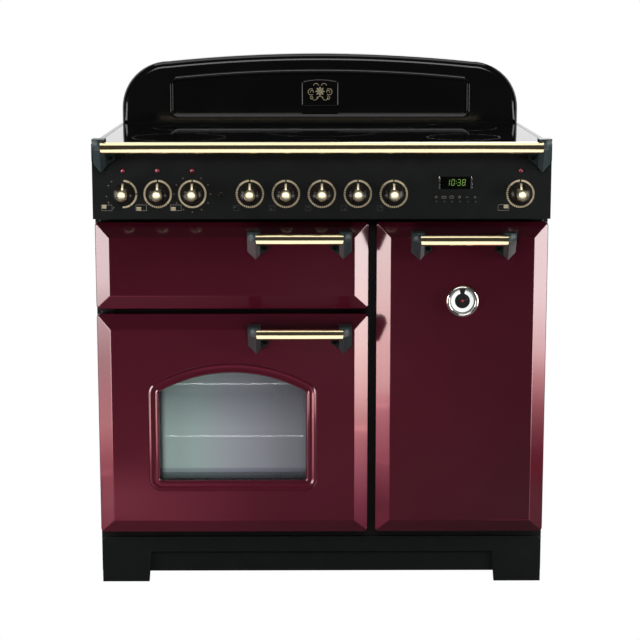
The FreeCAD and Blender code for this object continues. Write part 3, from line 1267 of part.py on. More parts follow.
# Shelves, ladders and fans inside the ovens.
def ladders_and_shelves():
    shelf_levels = {"left_oven": ("left_shelf_low", "left_shelf_high"),
                    "right_oven": ("tall_shelf_low", "tall_shelf_high")}
    shelves = []
    ladders = []
    start = f"({MOUTH} + shelf_front)"
    end = f"({start} + {SHELF_LENGTH})"
    for name, levels in shelf_levels.items():
        left, right, low, high = CHAMBERS[name]
        for side, wall, sign, back in (("left", left, "+", "-"), ("right", right, "-", "+")):
            x = f"({wall} {sign} ladder_stand)"
            upright = f"({x} {back} (wire_half + ladder_wire + ladder_gap))"
            bars = []
            for index, share in enumerate(("upright_share", "(1 - upright_share)")):
                y = f"({start} + {SHELF_LENGTH} * {share})"
                thick = (f"{y} - ladder_wire", f"{y} + ladder_wire")
                bars.append(box(f"{name}_{side}_upright_{index}",
                                (f"{upright} - ladder_wire", f"{upright} + ladder_wire"), thick,
                                (f"{low} + ladder_margin", f"{high} - ladder_margin")))
                for number, level in enumerate(levels):
                    z = f"({low} + {level} - wire_half)"
                    near, far = (wall, x) if side == "left" else (x, wall)
                    bars.append(box(f"{name}_{side}_peg_{index}_{number}", (near, far), thick,
                                    (f"{z} - ladder_wire * 2", z)))
            for number, level in enumerate(levels):
                z = f"({low} + {level} - wire_half)"
                bars.append(box(f"{name}_{side}_rung_{number}", (f"{x} - ladder_wire", f"{x} + ladder_wire"),
                                (start, end), (f"{z} - ladder_wire * 2", z)))
            ladders.append(fuse(f"{name}_{side}_ladder", *bars))
        x0 = f"({left} + ladder_stand)"
        x1 = f"({right} - ladder_stand)"
        count = int(value("shelf_bars"))
        for number, level in enumerate(levels):
            thick = (f"{low} + {level} - wire_half", f"{low} + {level} + wire_half")
            title = f"{name}_shelf_{number}"
            wires = [
                box(f"{title}_left", (f"{x0} - wire_half", f"{x0} + wire_half"), (start, end), thick),
                box(f"{title}_right", (f"{x1} - wire_half", f"{x1} + wire_half"), (start, end), thick),
                box(f"{title}_front", (x0, x1), (start, f"{start} + wire_half * 2"), thick),
                box(f"{title}_back", (x0, x1), (f"{end} - wire_half * 2", end), thick)]
            for index in range(count):
                x = f"({x0} + ({x1} - {x0}) * {index + 1} / ({count} + 1))"
                wires.append(box(f"{title}_bar_{index}", (f"{x} - wire_half * cross_wire_share",
                                                          f"{x} + wire_half * cross_wire_share"),
                                 (start, end), thick))
            shelves.append(fuse(title, *wires))
    node("oven_shelves", group("shelf_set", shelves))
    node("shelf_ladders", group("ladder_set", ladders))


# Corners of a fan blade, as shares of the radius of the wheel.
BLADE_SHARES = [("0.62", "0.1"), ("0.96", "-0.08"), ("0.97", "-0.05"), ("0.63", "0.13")]


def fans():
    units = []
    for name in ("left_oven", "right_oven"):
        left, right, low, high = CHAMBERS[name]
        x = f"(({left} + {right}) / 2)"
        z = fan_level(name)
        outside = f"({CHAMBER_BACK} + chamber_wall)"
        motor = rod(f"{name}_motor_can", "y", x, outside, z, "motor_radius", "motor_length")
        bore = rod(f"{name}_motor_bore", "y", x, f"{outside} - cut_over", z, "fan_shaft + fan_clearance",
                   "motor_length / 2 + cut_over")
        units.append(cut(f"{name}_motor", motor, bore))
        cover = turned(f"{name}_fan_cover", x, CHAMBER_BACK, z, [
            ("(cover_radius - cover_edge)", "-1 * cover_depth"), ("cover_radius", "-1 * cover_depth + cover_edge"),
            ("cover_radius", "0"), ("(cover_radius - cover_sheet)", "0"),
            ("(cover_radius - cover_sheet)", "-1 * cover_depth + cover_edge"),
            ("(cover_radius - cover_edge - cover_sheet / 2)", "-1 * cover_depth + cover_sheet"),
            ("(fan_hub / 2)", "-1 * cover_depth + cover_sheet"), ("(fan_hub / 2)", "-1 * cover_depth")])
        slots = []
        count = 6
        for index in range(count):
            slot = rod(f"{name}_cover_hole_{index}", "y",
                       f"{x} + cover_radius * cover_ring_share * cos(360 * {index} / {count})",
                       f"{CHAMBER_BACK} - cover_depth - cut_over",
                       f"{z} + cover_radius * cover_ring_share * sin(360 * {index} / {count})",
                       "cover_radius * cover_hole_share", "cover_sheet + cut_over * 2")
            slots.append(slot)
        units.append(cut(f"{name}_cover", cover, *slots))
        fan = body(f"{name}_fan_body")
        drawing = sketch(fan, f"{name}_fan_profile", "floor")
        plate = "(-1 * cover_sheet * 2)"
        shaft_end = "chamber_wall + motor_length / 2 - cover_sheet"
        outline(drawing, [
            ("0", f"{plate} - fan_depth"), ("(fan_hub * fan_nose_share)", f"{plate} - fan_depth"),
            ("fan_hub", f"{plate} - cover_sheet"), ("fan_radius", f"{plate} - cover_sheet"),
            ("fan_radius", plate), ("fan_shaft", plate), ("fan_shaft", shaft_end), ("0", shaft_end)])
        spin = fan.newObject("PartDesign::Revolution", f"{name}_fan_turn")
        spin.Profile = drawing
        spin.ReferenceAxis = (drawing, ["V_Axis"])
        spin.Angle = 360
        doc.recompute()
        blade = sketch(fan, f"{name}_fan_blade", "front", f"{plate} - cover_sheet")
        outline(blade, [(f"fan_radius * {across}", f"fan_radius * {up}") for across, up in BLADE_SHARES])
        first = pad(fan, f"{name}_fan_blade_pad", blade, "fan_depth - cover_sheet")
        pattern = fan.newObject("PartDesign::PolarPattern", f"{name}_fan_blades")
        pattern.Originals = [first]
        pattern.Axis = (drawing, ["V_Axis"])
        pattern.Angle = 360
        pattern.Occurrences = int(value("fan_blades"))
        fan.Tip = pattern
        for centre, text in zip("xyz", (x, CHAMBER_BACK, z)):
            bind(fan, f"Placement.Base.{centre}", text)
        node(f"{name}_fan", fan)
    node("fan_units", group("fan_unit_set", units))


def grill_fittings():
    left, right, low, high = CHAMBERS["grill"]
    middle = f"(({left} + {right}) / 2)"
    z = f"({high} - grill_element_drop)"
    start = f"({MOUTH} + grill_element_start)"
    length = f"({CHAMBER_DEPTH} - grill_element_start)"
    runs = int(value("grill_element_runs"))
    bars = []
    for index in range(runs):
        x = f"({middle} - grill_element_half + 2 * grill_element_half * {index} / ({runs} - 1))"
        bars.append(rod(f"grill_run_{index}", "y", x, start, z, "grill_tube", length))
        if index:
            before = f"({middle} - grill_element_half + 2 * grill_element_half * {index - 1} / ({runs} - 1))"
            bars.append(rod(f"grill_turn_{index}", "x", before, f"{start} + grill_tube * grill_bend_share", z,
                            "grill_tube", f"{x} - {before}"))
    node("grill_element", fuse("grill_element_tube", *bars))
    x0 = f"({left} + frame_radius + pan_side_gap)"
    x1 = f"({right} - frame_radius - pan_side_gap)"
    y0 = f"({MOUTH} + shelf_front)"
    y1 = f"({CHAMBER_BACK} - pan_back_gap)"
    outer = box("grill_pan_outer", (x0, x1), (y0, y1), (low, f"{low} + pan_height"))
    inner = box("grill_pan_inner", (f"{x0} + pan_wall", f"{x1} - pan_wall"),
                (f"{y0} + pan_wall", f"{y1} - pan_wall"),
                (f"{low} + pan_wall", f"{low} + pan_height + cut_over"))
    node("grill_pan", cut("grill_pan_cut", outer, inner))


base_frame()
levelling_feet()
side_panels()
back_panel()
plinth()
front_frame()
chambers()
hob()
splashback()
control_panel()
knob_switches()
indicator_lamps()
clock()
light_button()
knobs()
hand_rail()
left_oven_door()
grill_door()
right_oven_door()
hinges()
door_seals()
ladders_and_shelves()
fans()
grill_fittings()
doc.recompute()

failed = [thing.Name for thing in doc.Objects if {"Invalid", "Error"} & set(thing.State)]
if failed:
    raise RuntimeError(f"these objects failed: {failed}")
for piece in NODES:
    if piece.Shape.isNull() or not piece.Shape.isValid():
        raise RuntimeError(f"{piece.Label} has no valid shape")
for piece in NODES:
    piece.Shape.exportStep(f"parts/{piece.Label}.step")
print(len(NODES), "nodes written")
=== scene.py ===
import math

import bpy
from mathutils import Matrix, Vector


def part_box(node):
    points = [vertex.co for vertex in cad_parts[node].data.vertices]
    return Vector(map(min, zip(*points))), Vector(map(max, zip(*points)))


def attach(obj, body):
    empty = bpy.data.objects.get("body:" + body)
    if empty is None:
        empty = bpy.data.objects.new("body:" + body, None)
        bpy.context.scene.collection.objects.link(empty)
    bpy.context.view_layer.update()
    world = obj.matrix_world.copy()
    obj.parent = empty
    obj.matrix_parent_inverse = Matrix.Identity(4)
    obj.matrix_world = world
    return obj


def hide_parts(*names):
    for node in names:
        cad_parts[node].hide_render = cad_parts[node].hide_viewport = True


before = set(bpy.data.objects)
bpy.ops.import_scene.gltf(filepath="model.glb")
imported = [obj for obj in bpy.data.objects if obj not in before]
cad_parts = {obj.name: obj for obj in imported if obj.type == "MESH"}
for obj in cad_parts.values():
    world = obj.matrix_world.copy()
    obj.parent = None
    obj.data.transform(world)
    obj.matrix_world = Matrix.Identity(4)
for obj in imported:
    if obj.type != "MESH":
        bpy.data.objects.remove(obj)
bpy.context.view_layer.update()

MM = 0.001

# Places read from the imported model: the plane of the door faces and of the panel
PANEL_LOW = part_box("control_panel")[0]
FACE_Y = PANEL_LOW.y
PANEL_FLOOR = PANEL_LOW.z / MM
HOB_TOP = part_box("hob_glass")[1].z
HOB_LEVEL = HOB_TOP / MM


def at(x, depth, z):
    """A place in millimetres, with its depth counted back from the door faces."""
    return Vector((x * MM, FACE_Y + depth * MM, z * MM))


# Selecting, shaping and finishing

# Points closer than this are one point, in most shapes, in finely turned ones and in outlines
WELD = 0.00001
FINE_WELD = 0.000004
OUTLINE_WELD = 0.0002
# Faces that meet at a smaller angle than this, in degrees, are one flat face.
FLAT = 0.6


def deselect():
    """Leave edit mode, with nothing selected."""
    if bpy.context.mode != "OBJECT":
        bpy.ops.object.mode_set(mode="OBJECT")
    bpy.ops.object.select_all(action="DESELECT")


def only(piece):
    """Select one piece and make it the active one."""
    deselect()
    piece.select_set(True)
    bpy.context.view_layer.objects.active = piece


def named(name):
    """Name the new primitive and put its place into its mesh."""
    piece = bpy.context.object
    piece.name = name
    piece.data.name = name
    bpy.ops.object.transform_apply(location=True, rotation=True, scale=True)
    return piece


def block(name, low, high):
    """A box between two corners."""
    deselect()
    middle = (Vector(low) + Vector(high)) / 2
    size = Vector(high) - Vector(low)
    bpy.ops.mesh.primitive_cube_add(size=1, location=middle, scale=size)
    return named(name)


def round_bar(name, start, end, radius, sides):
    """A round bar between two points."""
    deselect()
    start, end = Vector(start), Vector(end)
    along = end - start
    turn = along.to_track_quat("Z", "Y").to_euler()
    bpy.ops.mesh.primitive_cylinder_add(vertices=sides, radius=radius, depth=along.length,
                                        location=(start + end) / 2, rotation=turn)
    return named(name)


def pick(piece, kind, wanted):
    """Select the faces, edges or vertices that a test wants, ready for the next edit."""
    only(piece)
    bpy.ops.object.mode_set(mode="EDIT")
    bpy.ops.mesh.select_mode(type=kind)
    bpy.ops.mesh.select_all(action="DESELECT")
    bpy.ops.object.mode_set(mode="OBJECT")
    mesh = piece.data
    if kind == "FACE":
        for face in mesh.polygons:
            face.select = bool(wanted(face.center, face.normal))
    elif kind == "EDGE":
        for edge in mesh.edges:
            first, last = (mesh.vertices[index].co for index in edge.vertices)
            edge.select = bool(wanted(first, last))
    else:
        for point in mesh.vertices:
            point.select = bool(wanted(point.co))
    bpy.ops.object.mode_set(mode="EDIT")


def done():
    """Leave edit mode."""
    bpy.ops.object.mode_set(mode="OBJECT")


def everything(piece):
    """Select all of a piece, ready for the next edit."""
    only(piece)
    bpy.ops.object.mode_set(mode="EDIT")
    bpy.ops.mesh.select_mode(type="VERT")
    bpy.ops.mesh.select_all(action="SELECT")


def outward(piece, merge=WELD):
    """Weld a shape's doubled points and turn its faces outwards."""
    everything(piece)
    bpy.ops.mesh.remove_doubles(threshold=merge)
    bpy.ops.mesh.normals_make_consistent(inside=False)
    done()


def modify(piece, kind, **settings):
    """Add a modifier and apply it."""
    only(piece)
    modifier = piece.modifiers.new(kind.title(), kind)
    for key, setting in settings.items():
        setattr(modifier, key, setting)
    bpy.ops.object.modifier_apply(modifier=modifier.name)


def ease(piece, width, segments=3, angle=25):
    """Round the sharp edges a little, as pressing, casting or polishing does."""
    modify(piece, "BEVEL", width=width * MM, segments=segments, limit_method="ANGLE",
           angle_limit=math.radians(angle))


def smooth(piece, angle=32):
    """Smooth shading, except over edges sharper than the angle."""
    only(piece)
    bpy.ops.object.shade_smooth_by_angle(angle=math.radians(angle))


def crisp(piece, angle):
    """Smooth shading that leaves the large flat faces flat."""
    smooth(piece, angle)
    modify(piece, "WEIGHTED_NORMAL", keep_sharp=True, weight=100)


def joined(name, pieces):
    """Make several shapes one piece."""
    deselect()
    for piece in pieces:
        piece.select_set(True)
    bpy.context.view_layer.objects.active = pieces[0]
    if len(pieces) > 1:
        bpy.ops.object.join()
    pieces[0].name = name
    pieces[0].data.name = name
    return pieces[0]


def keep(piece, body, slot, material, *nodes):
    """Paint a finished piece and fix it to its body."""
    piece.data.materials.clear()
    piece.data.materials.append(material)
    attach(piece, body)
    if nodes:
        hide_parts(*nodes)
    return piece


def dress(node, material):
    """Give a node of the model its finish."""
    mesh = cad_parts[node].data
    mesh.materials.clear()
    mesh.materials.append(material)


def refined(node, body, slot, material, edge, segments=2, angle=30, sharp=40):
    """A smooth copy of a node whose shape is right, with its edges eased by a width in millimetres."""
    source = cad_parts[node]
    deselect()
    twin = source.copy()
    twin.data = source.data.copy()
    twin.parent = None
    for key in list(twin.keys()):
        del twin[key]
    bpy.context.scene.collection.objects.link(twin)
    twin.name = node + "_finished"
    twin.data.name = twin.name
    everything(twin)
    bpy.ops.mesh.remove_doubles(threshold=FINE_WELD)
    bpy.ops.mesh.dissolve_limited(angle_limit=math.radians(FLAT))
    done()
    if edge:
        ease(twin, edge, segments, angle)
    crisp(twin, sharp)
    return keep(twin, body, slot, material, node)


def drawn(name, points, edges, faces):
    """A mesh drawn point by point, in place of a primitive's own."""
    deselect()
    bpy.ops.mesh.primitive_plane_add(size=1, location=(0, 0, 0))
    piece = named(name)
    everything(piece)
    bpy.ops.mesh.delete(type="VERT")
    done()
    piece.data.from_pydata(points, edges, faces)
    return piece


def spun(name, profile, centre, steps=48):
    """A turned shape. The profile is (radius, depth) pairs in millimetres, from the axis out."""
    piece = drawn(name, [centre + Vector((r * MM, y * MM, 0)) for r, y in profile],
                  [(index, index + 1) for index in range(len(profile) - 1)], [])
    everything(piece)
    bpy.ops.mesh.spin(steps=steps, angle=math.tau, center=centre, axis=(0, 1, 0))
    done()
    outward(piece, FINE_WELD)
    return piece


def turned(name, profile, centre, steps, body, slot, material, *nodes, angle=40):
    """A turned piece, smoothed and kept."""
    piece = spun(name, profile, centre, steps)
    smooth(piece, angle)
    return keep(piece, body, slot, material, *nodes)


def flat_face(name, points, depth):
    """One flat face through (x, z) points, at a depth behind the door faces, facing the front."""
    piece = drawn(name, [at(x, depth, z) for x, z in points], [], [list(range(len(points)))])
    everything(piece)
    bpy.ops.mesh.remove_doubles(threshold=OUTLINE_WELD)
    if piece.data.polygons[0].normal.y > 0:
        bpy.ops.mesh.flip_normals()
    done()
    return piece


def pull(piece, depth):
    """Extrude a whole face along Y, by millimetres."""
    pick(piece, "FACE", lambda centre, normal: True)
    bpy.ops.mesh.extrude_region_move(TRANSFORM_OT_translate={"value": (0, depth * MM, 0)})
    done()


def erase(piece, wanted):
    """Delete the faces that a test wants."""
    pick(piece, "FACE", wanted)
    bpy.ops.mesh.delete(type="FACE")
    done()


def cut_out(piece, outline, depth, reach):
    """Cut an outline out of a piece, from a depth forwards."""
    cutter = flat_face("cutter", outline, depth)
    pull(cutter, -reach)
    outward(cutter)
    modify(piece, "BOOLEAN", operation="DIFFERENCE", object=cutter, solver="EXACT")
    bpy.data.objects.remove(cutter)


def pick_last(piece):
    """Select the largest face, which is the one inside the last inset."""
    largest = max(face.area for face in piece.data.polygons)
    pick(piece, "FACE", lambda centre, normal: False)
    done()
    for face in piece.data.polygons:
        face.select = face.area > largest * 0.999
    bpy.ops.object.mode_set(mode="EDIT")


def inset_steps(piece, steps):
    """Press a face in steps of width inwards and of rise towards the front."""
    for width, rise in steps:
        pick_last(piece)
        bpy.ops.mesh.inset(thickness=width * MM, depth=rise * MM, use_even_offset=True)
        done()


def half_round(width, height, steps):
    """The inset steps of a half-round bead."""
    turns = [math.pi * index / steps for index in range(steps + 1)]
    return [(width / 2 * (math.cos(a) - math.cos(b)), height * (math.sin(b) - math.sin(a)))
            for a, b in zip(turns, turns[1:])]


def quarter_round(radius, steps):
    """The inset steps of a rounded edge."""
    turns = [math.pi / 2 * index / steps for index in range(steps + 1)]
    return [(radius * (math.cos(a) - math.cos(b)), radius * (math.sin(b) - math.sin(a)))
            for a, b in zip(turns, turns[1:])]


def arc_points(cx, cz, radius, start, end, steps):
    """Points along an arc, between two angles in degrees."""
    turns = [math.radians(start + (end - start) * step / steps) for step in range(steps + 1)]
    return [(cx + radius * math.cos(turn), cz + radius * math.sin(turn)) for turn in turns]


# Materials. Every pattern reads Object coordinates.

PATTERN_DETAIL = 3.0

def tree(name):
    """A new material with its nodes, links and shader."""
    material = bpy.data.materials.new(name)
    material.use_nodes = True
    nodes = material.node_tree.nodes
    return material, nodes, material.node_tree.links, nodes["Principled BSDF"]


def noise(nodes, links, scale, stretch=(1, 1, 1)):
    """A soft pattern over the surface, finer at a larger scale."""
    place = nodes.new("ShaderNodeTexCoord")
    mapping = nodes.new("ShaderNodeMapping")
    mapping.inputs["Scale"].default_value = stretch
    texture = nodes.new("ShaderNodeTexNoise")
    texture.inputs["Scale"].default_value = scale
    texture.inputs["Detail"].default_value = PATTERN_DETAIL
    links.new(place.outputs["Object"], mapping.inputs["Vector"])
    links.new(mapping.outputs["Vector"], texture.inputs["Vector"])
    return texture.outputs["Fac"]


def ramp(nodes, links, source, stops):
    """A colour that follows a value, from (value, colour) stops."""
    band = nodes.new("ShaderNodeValToRGB")
    elements = band.color_ramp.elements
    while len(elements) < len(stops):
        elements.new(0.5)
    for element, (place, colour) in zip(elements, stops):
        element.position = place
        element.color = (*colour, 1)
    links.new(source, band.inputs["Fac"])
    return band.outputs["Color"]


def spread(nodes, links, source, low, high, ends="To"):
    """Bring a value to a range, or from one where the ends are called "From"."""
    scale = nodes.new("ShaderNodeMapRange")
    scale.inputs[ends + " Min"].default_value = low
    scale.inputs[ends + " Max"].default_value = high
    links.new(source, scale.inputs["Value"])
    return scale.outputs["Result"]


def product(nodes, links, first, second):
    """One colour times the other."""
    mix = nodes.new("ShaderNodeMix")
    mix.data_type = "RGBA"
    mix.blend_type = "MULTIPLY"
    mix.inputs["Factor"].default_value = 1.0
    links.new(first, mix.inputs["A"])
    links.new(second, mix.inputs["B"])
    return mix.outputs["Result"]


def grey(level):
    """A colour with no hue."""
    return (level, level, level)


RELIEF_DEPTH = 0.0002


def finish(name, dark, light, rough, metallic=0.0, coat=0.0, coat_rough=0.03, specular=0.5,
           grain=40.0, stretch=(1, 1, 1), relief=0.0, relief_scale=300.0):
    """A finish whose colour and roughness drift a little over the surface."""
    material, nodes, links, shader = tree(name)
    drift = noise(nodes, links, grain, stretch=stretch)
    links.new(ramp(nodes, links, drift, [(0.3, dark), (0.7, light)]), shader.inputs["Base Color"])
    links.new(spread(nodes, links, drift, *rough), shader.inputs["Roughness"])
    shader.inputs["Metallic"].default_value = metallic
    shader.inputs["Coat Weight"].default_value = coat
    shader.inputs["Coat Roughness"].default_value = coat_rough
    shader.inputs["Specular IOR Level"].default_value = specular
    if relief:
        bump = nodes.new("ShaderNodeBump")
        bump.inputs["Strength"].default_value = relief
        bump.inputs["Distance"].default_value = RELIEF_DEPTH
        links.new(noise(nodes, links, relief_scale, stretch=stretch), bump.inputs["Height"])
        links.new(bump.outputs["Normal"], shader.inputs["Normal"])
    return material


burgundy = finish("burgundy_enamel", (0.070, 0.0050, 0.0140), (0.078, 0.0058, 0.0160), (0.10, 0.14),
                  coat=0.4, coat_rough=0.04, grain=6, relief=0.02, relief_scale=60)
black_enamel = finish("black_enamel", (0.0028, 0.0028, 0.0029), (0.004, 0.004, 0.0041), (0.08, 0.13),
                      specular=0.36, coat=0.15, grain=8)
panel_satin = finish("panel_satin_enamel", (0.0075, 0.0088, 0.0083), (0.0090, 0.0104, 0.0099), (0.34, 0.42),
                     specular=0.3, grain=30, relief=0.1, relief_scale=1500)
black_paint = finish("black_painted_steel", grey(0.010), grey(0.015), (0.38, 0.5), specular=0.4,
                     grain=20, relief=0.12, relief_scale=900)
casting = finish("black_casting", (0.021, 0.0325, 0.0345), (0.030, 0.0435, 0.0455), (0.28, 0.36),
                 specular=0.28, grain=60)
galvanised = finish("galvanised_steel", (0.32, 0.33, 0.34), (0.52, 0.53, 0.54), (0.35, 0.55), metallic=0.9,
                    grain=35, relief=0.1, relief_scale=200)
brass = finish("polished_brass", (0.86, 0.72, 0.43), (0.92, 0.79, 0.50), (0.13, 0.19), metallic=1.0,
               grain=30, stretch=(0.06, 1, 1))
knob_brass = finish("turned_brass", (0.90, 0.80, 0.55), (0.96, 0.87, 0.63), (0.34, 0.44), metallic=1.0,
                    grain=120, relief=0.04, relief_scale=1400)
knob_black = finish("knob_black", (0.010, 0.007, 0.006), (0.018, 0.012, 0.009), (0.22, 0.30), specular=0.35,
                    grain=70)
ceramic = finish("ceramic_glass", (0.0025, 0.0025, 0.003), (0.004, 0.004, 0.005), (0.02, 0.04), coat=0.5,
                 coat_rough=0.01, grain=12)
oven_enamel = finish("grey_oven_enamel", (0.16, 0.18, 0.185), (0.24, 0.255, 0.26), (0.25, 0.4), grain=160,
                     relief=0.05, relief_scale=600)
liner_enamel = finish("liner_enamel", (0.012, 0.012, 0.013), (0.022, 0.022, 0.024), (0.15, 0.25), coat=0.3,
                      grain=50, relief=0.04, relief_scale=200)
chrome_wire = finish("chromed_wire", (0.78, 0.79, 0.80), (0.88, 0.89, 0.90), (0.20, 0.30), metallic=0.6,
                     grain=90)
element_steel = finish("heating_element", (0.06, 0.055, 0.05), (0.13, 0.12, 0.11), (0.4, 0.6), metallic=0.7,
                       grain=150, relief=0.1, relief_scale=700)
fan_steel = finish("fan_steel", grey(0.40), grey(0.6), (0.25, 0.4), metallic=1.0, grain=80)
seal_rubber = finish("seal_rubber", grey(0.012), grey(0.022), (0.6, 0.75), grain=120, relief=0.3,
                     relief_scale=900)
switch_plastic = finish("switch_plastic", (0.42, 0.42, 0.38), (0.52, 0.52, 0.48), (0.45, 0.6), grain=70)
lamp_glass = finish("red_lamp_lens", (0.16, 0.005, 0.018), (0.24, 0.009, 0.028), (0.10, 0.16), coat=1.0,
                    grain=400)
display_black = finish("display_black", (0.0015, 0.002, 0.0015), (0.003, 0.004, 0.003), (0.05, 0.1), coat=0.5,
                       grain=60)
button_black = finish("button_black", grey(0.007), grey(0.012), (0.3, 0.4), grain=300)
chrome = finish("polished_chrome", (0.78, 0.76, 0.70), (0.88, 0.86, 0.80), (0.12, 0.18), metallic=1.0,
                grain=50)
collar_grey = finish("thermometer_collar", grey(0.05), grey(0.09), (0.15, 0.25), metallic=0.9, grain=80)
dial_grey = finish("thermometer_ring", (0.74, 0.77, 0.76), (0.84, 0.86, 0.85), (0.3, 0.42), grain=90)
dial_black = finish("thermometer_face", (0.012, 0.013, 0.015), (0.022, 0.024, 0.028), (0.3, 0.4), grain=200)
needle_red = finish("needle_red", (0.38, 0.03, 0.03), (0.5, 0.05, 0.04), (0.25, 0.35), grain=200)
print_brass = finish("printed_brass", (0.58, 0.47, 0.30), (0.74, 0.62, 0.42), (0.35, 0.5), grain=500)
print_pale = finish("printed_pale", (0.20, 0.19, 0.16), (0.27, 0.25, 0.21), (0.45, 0.6), grain=500)
ornament_gold = finish("ornament_gold", (0.42, 0.36, 0.22), (0.55, 0.48, 0.31), (0.35, 0.5), metallic=0.3,
                       grain=300)
print_brown = finish("printed_brown", (0.10, 0.065, 0.045), (0.15, 0.10, 0.07), (0.45, 0.6), grain=500)
zone_print = finish("zone_print", (0.008, 0.008, 0.009), (0.013, 0.013, 0.014), (0.2, 0.3), grain=300)
print_faint = finish("printed_faint", (0.06, 0.06, 0.055), (0.09, 0.09, 0.08), (0.45, 0.6), grain=500)
foot_steel = finish("zinc_plated_steel", (0.30, 0.30, 0.29), (0.42, 0.42, 0.41), (0.3, 0.45), metallic=0.9,
                    grain=120)


def lit(name, colour, strength):
    """A glowing digit."""
    material, nodes, links, shader = tree(name)
    shader.inputs["Base Color"].default_value = (*colour, 1)
    dim = tuple(share * 0.8 for share in colour)
    glow = ramp(nodes, links, noise(nodes, links, 500), [(0.2, dim), (0.8, colour)])
    links.new(glow, shader.inputs["Emission Color"])
    shader.inputs["Emission Strength"].default_value = strength
    return material


digit_green = lit("display_green", (0.18, 0.34, 0.07), 0.42)


def outer_pane():
    """Clear oven glass with a trace of grey."""
    material, nodes, links, shader = tree("oven_window_glass")
    tint = ramp(nodes, links, noise(nodes, links, 4),
                [(0.2, (0.05, 0.055, 0.055)), (0.8, (0.07, 0.075, 0.075))])
    links.new(tint, shader.inputs["Base Color"])
    shader.inputs["Roughness"].default_value = 0.03
    shader.inputs["Alpha"].default_value = 0.10
    return material


# Widths of the painted shadow band at the left side of the inner pane, and of the painted shade over the
# liner's frame at its foot
PANE_SIDE_SHADOW = 20.0
PANE_FOOT_SHADE = 30.0


def inner_pane():
    """Glass with painted light: a painted reflection, lighter and greener on the left and darker to the
    right, painted shade in its upper part, and painted shadow at its left side and foot, where the liner
    frames it.
    """
    material, nodes, links, shader = tree("inner_oven_glass")
    low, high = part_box("left_door_inner_glass")
    split = nodes.new("ShaderNodeSeparateXYZ")
    links.new(nodes.new("ShaderNodeTexCoord").outputs["Object"], split.inputs["Vector"])

    def band(axis, start, end, stops):
        return ramp(nodes, links, spread(nodes, links, split.outputs[axis], start, end, "From"), stops)

    clear = grey(1.0)
    shade = (0.66, 0.64, 0.70)
    # Painted reflection: lighter and greener on the left, darker and greyer to the right.
    across = band("X", low.x, high.x, [
        (0.0, (0.40, 0.53, 0.49)), (0.25, (0.39, 0.50, 0.48)), (0.45, (0.38, 0.41, 0.45)),
        (1.0, (0.20, 0.195, 0.225))])
    # Painted shade in the upper part, under the arch of the surround.
    up = band("Z", low.z, high.z, [
        (0.0, clear), (0.45, grey(0.95)), (0.75, (0.52, 0.52, 0.54)), (1.0, (0.62, 0.62, 0.60))])
    # Painted shadow along the left side, where the edge of the opening shades the pane.
    left = band("X", low.x, low.x + PANE_SIDE_SHADOW * MM, [
        (0.0, (0.30, 0.27, 0.28)), (0.35, (0.45, 0.41, 0.42)), (0.55, clear)])
    # Painted shade at the foot, in two tones, over the liner's frame behind the pane.
    foot = band("Z", low.z, low.z + PANE_FOOT_SHADE * MM, [
        (0.0, (0.22, 0.22, 0.23)), (0.42, (0.33, 0.34, 0.36)), (0.50, shade), (0.66, shade), (0.78, clear)])
    colour = across
    for layer in (up, left, foot):
        colour = product(nodes, links, colour, layer)
    links.new(colour, shader.inputs["Base Color"])
    shader.inputs["Roughness"].default_value = 0.25
    shader.inputs["Alpha"].default_value = 0.70
    return material


window_glass = outer_pane()
inner_glass = inner_pane()

# Nodes that keep their own shape
for node, material in {
    "base_frame": galvanised, "back_panel": galvanised, "front_frame": black_paint,
    "side_panels": black_paint, "hinge_brackets": black_paint, "grill_cavity": oven_enamel,
    "left_oven_cavity": oven_enamel, "right_oven_cavity": oven_enamel,
    "hob_elements": element_steel, "knob_switches": switch_plastic,
    "fan_units": fan_steel, "left_oven_fan": fan_steel, "right_oven_fan": fan_steel,
    "door_seals": seal_rubber, "levelling_feet": foot_steel, "grill_door_liner": liner_enamel,
    "left_door_liner": liner_enamel, "right_door_liner": liner_enamel,
    "left_door_inner_glass": inner_glass, "left_door_window": window_glass,
    "shelf_ladders": chrome_wire, "clock_module": display_black,
}.items():
    dress(node, material)

# Nodes shown by a finished copy
refined("control_panel", "cabinet", "panel_enamel", panel_satin, 0.5)
refined("hob_frame", "cabinet", "black_enamel", black_enamel, 0.8)
refined("hob_glass", "cabinet", "ceramic_glass", ceramic, 1.0, segments=3)
refined("plinth", "cabinet", "black_enamel", panel_satin, 1.0, segments=3)
refined("grill_pan", "cabinet", "pan_enamel", liner_enamel, 0.4)
refined("grill_element", "cabinet", "element_steel", element_steel, 0.0)


# Doors

WALL_TOP = 18.0
BEVEL_WIDTH = 29.0
DOOR_CORNER = 8.0
EDGE_ROUNDING = 1.6
SKIN = 1.2
ALMOST = 0.9

# The window's emboss in the left door, from the panel's corner
WINDOW_LEFT = 102.0
WINDOW_FLOOR = 92.0
WINDOW_WIDE = 334.0
WINDOW_CROWN = 262.0
WINDOW_ARCH = 314.5
WINDOW_CORNER = 25.0
WINDOW_CUT = 6.0
CUT_INSET = 0.02
# The pressed beads round the window, from its edge in to the glass: widths and rises
WINDOW_BEADS = [
    (0.5, 0.05), (0.6, 0.25), (2.6, 1.60), (0.6, 0.10), (0.6, -0.10), (3.5, -2.17), (0.8, -0.25),
    (0.7, -0.05), (3.0, 0.0), (0.6, 0.05), (0.6, 0.30), (2.0, 1.24), (0.5, 0.10), (0.5, -0.10),
    (1.4, -0.90), (1.0, -1.10), (0.8, -1.50), (0.8, -2.60)]


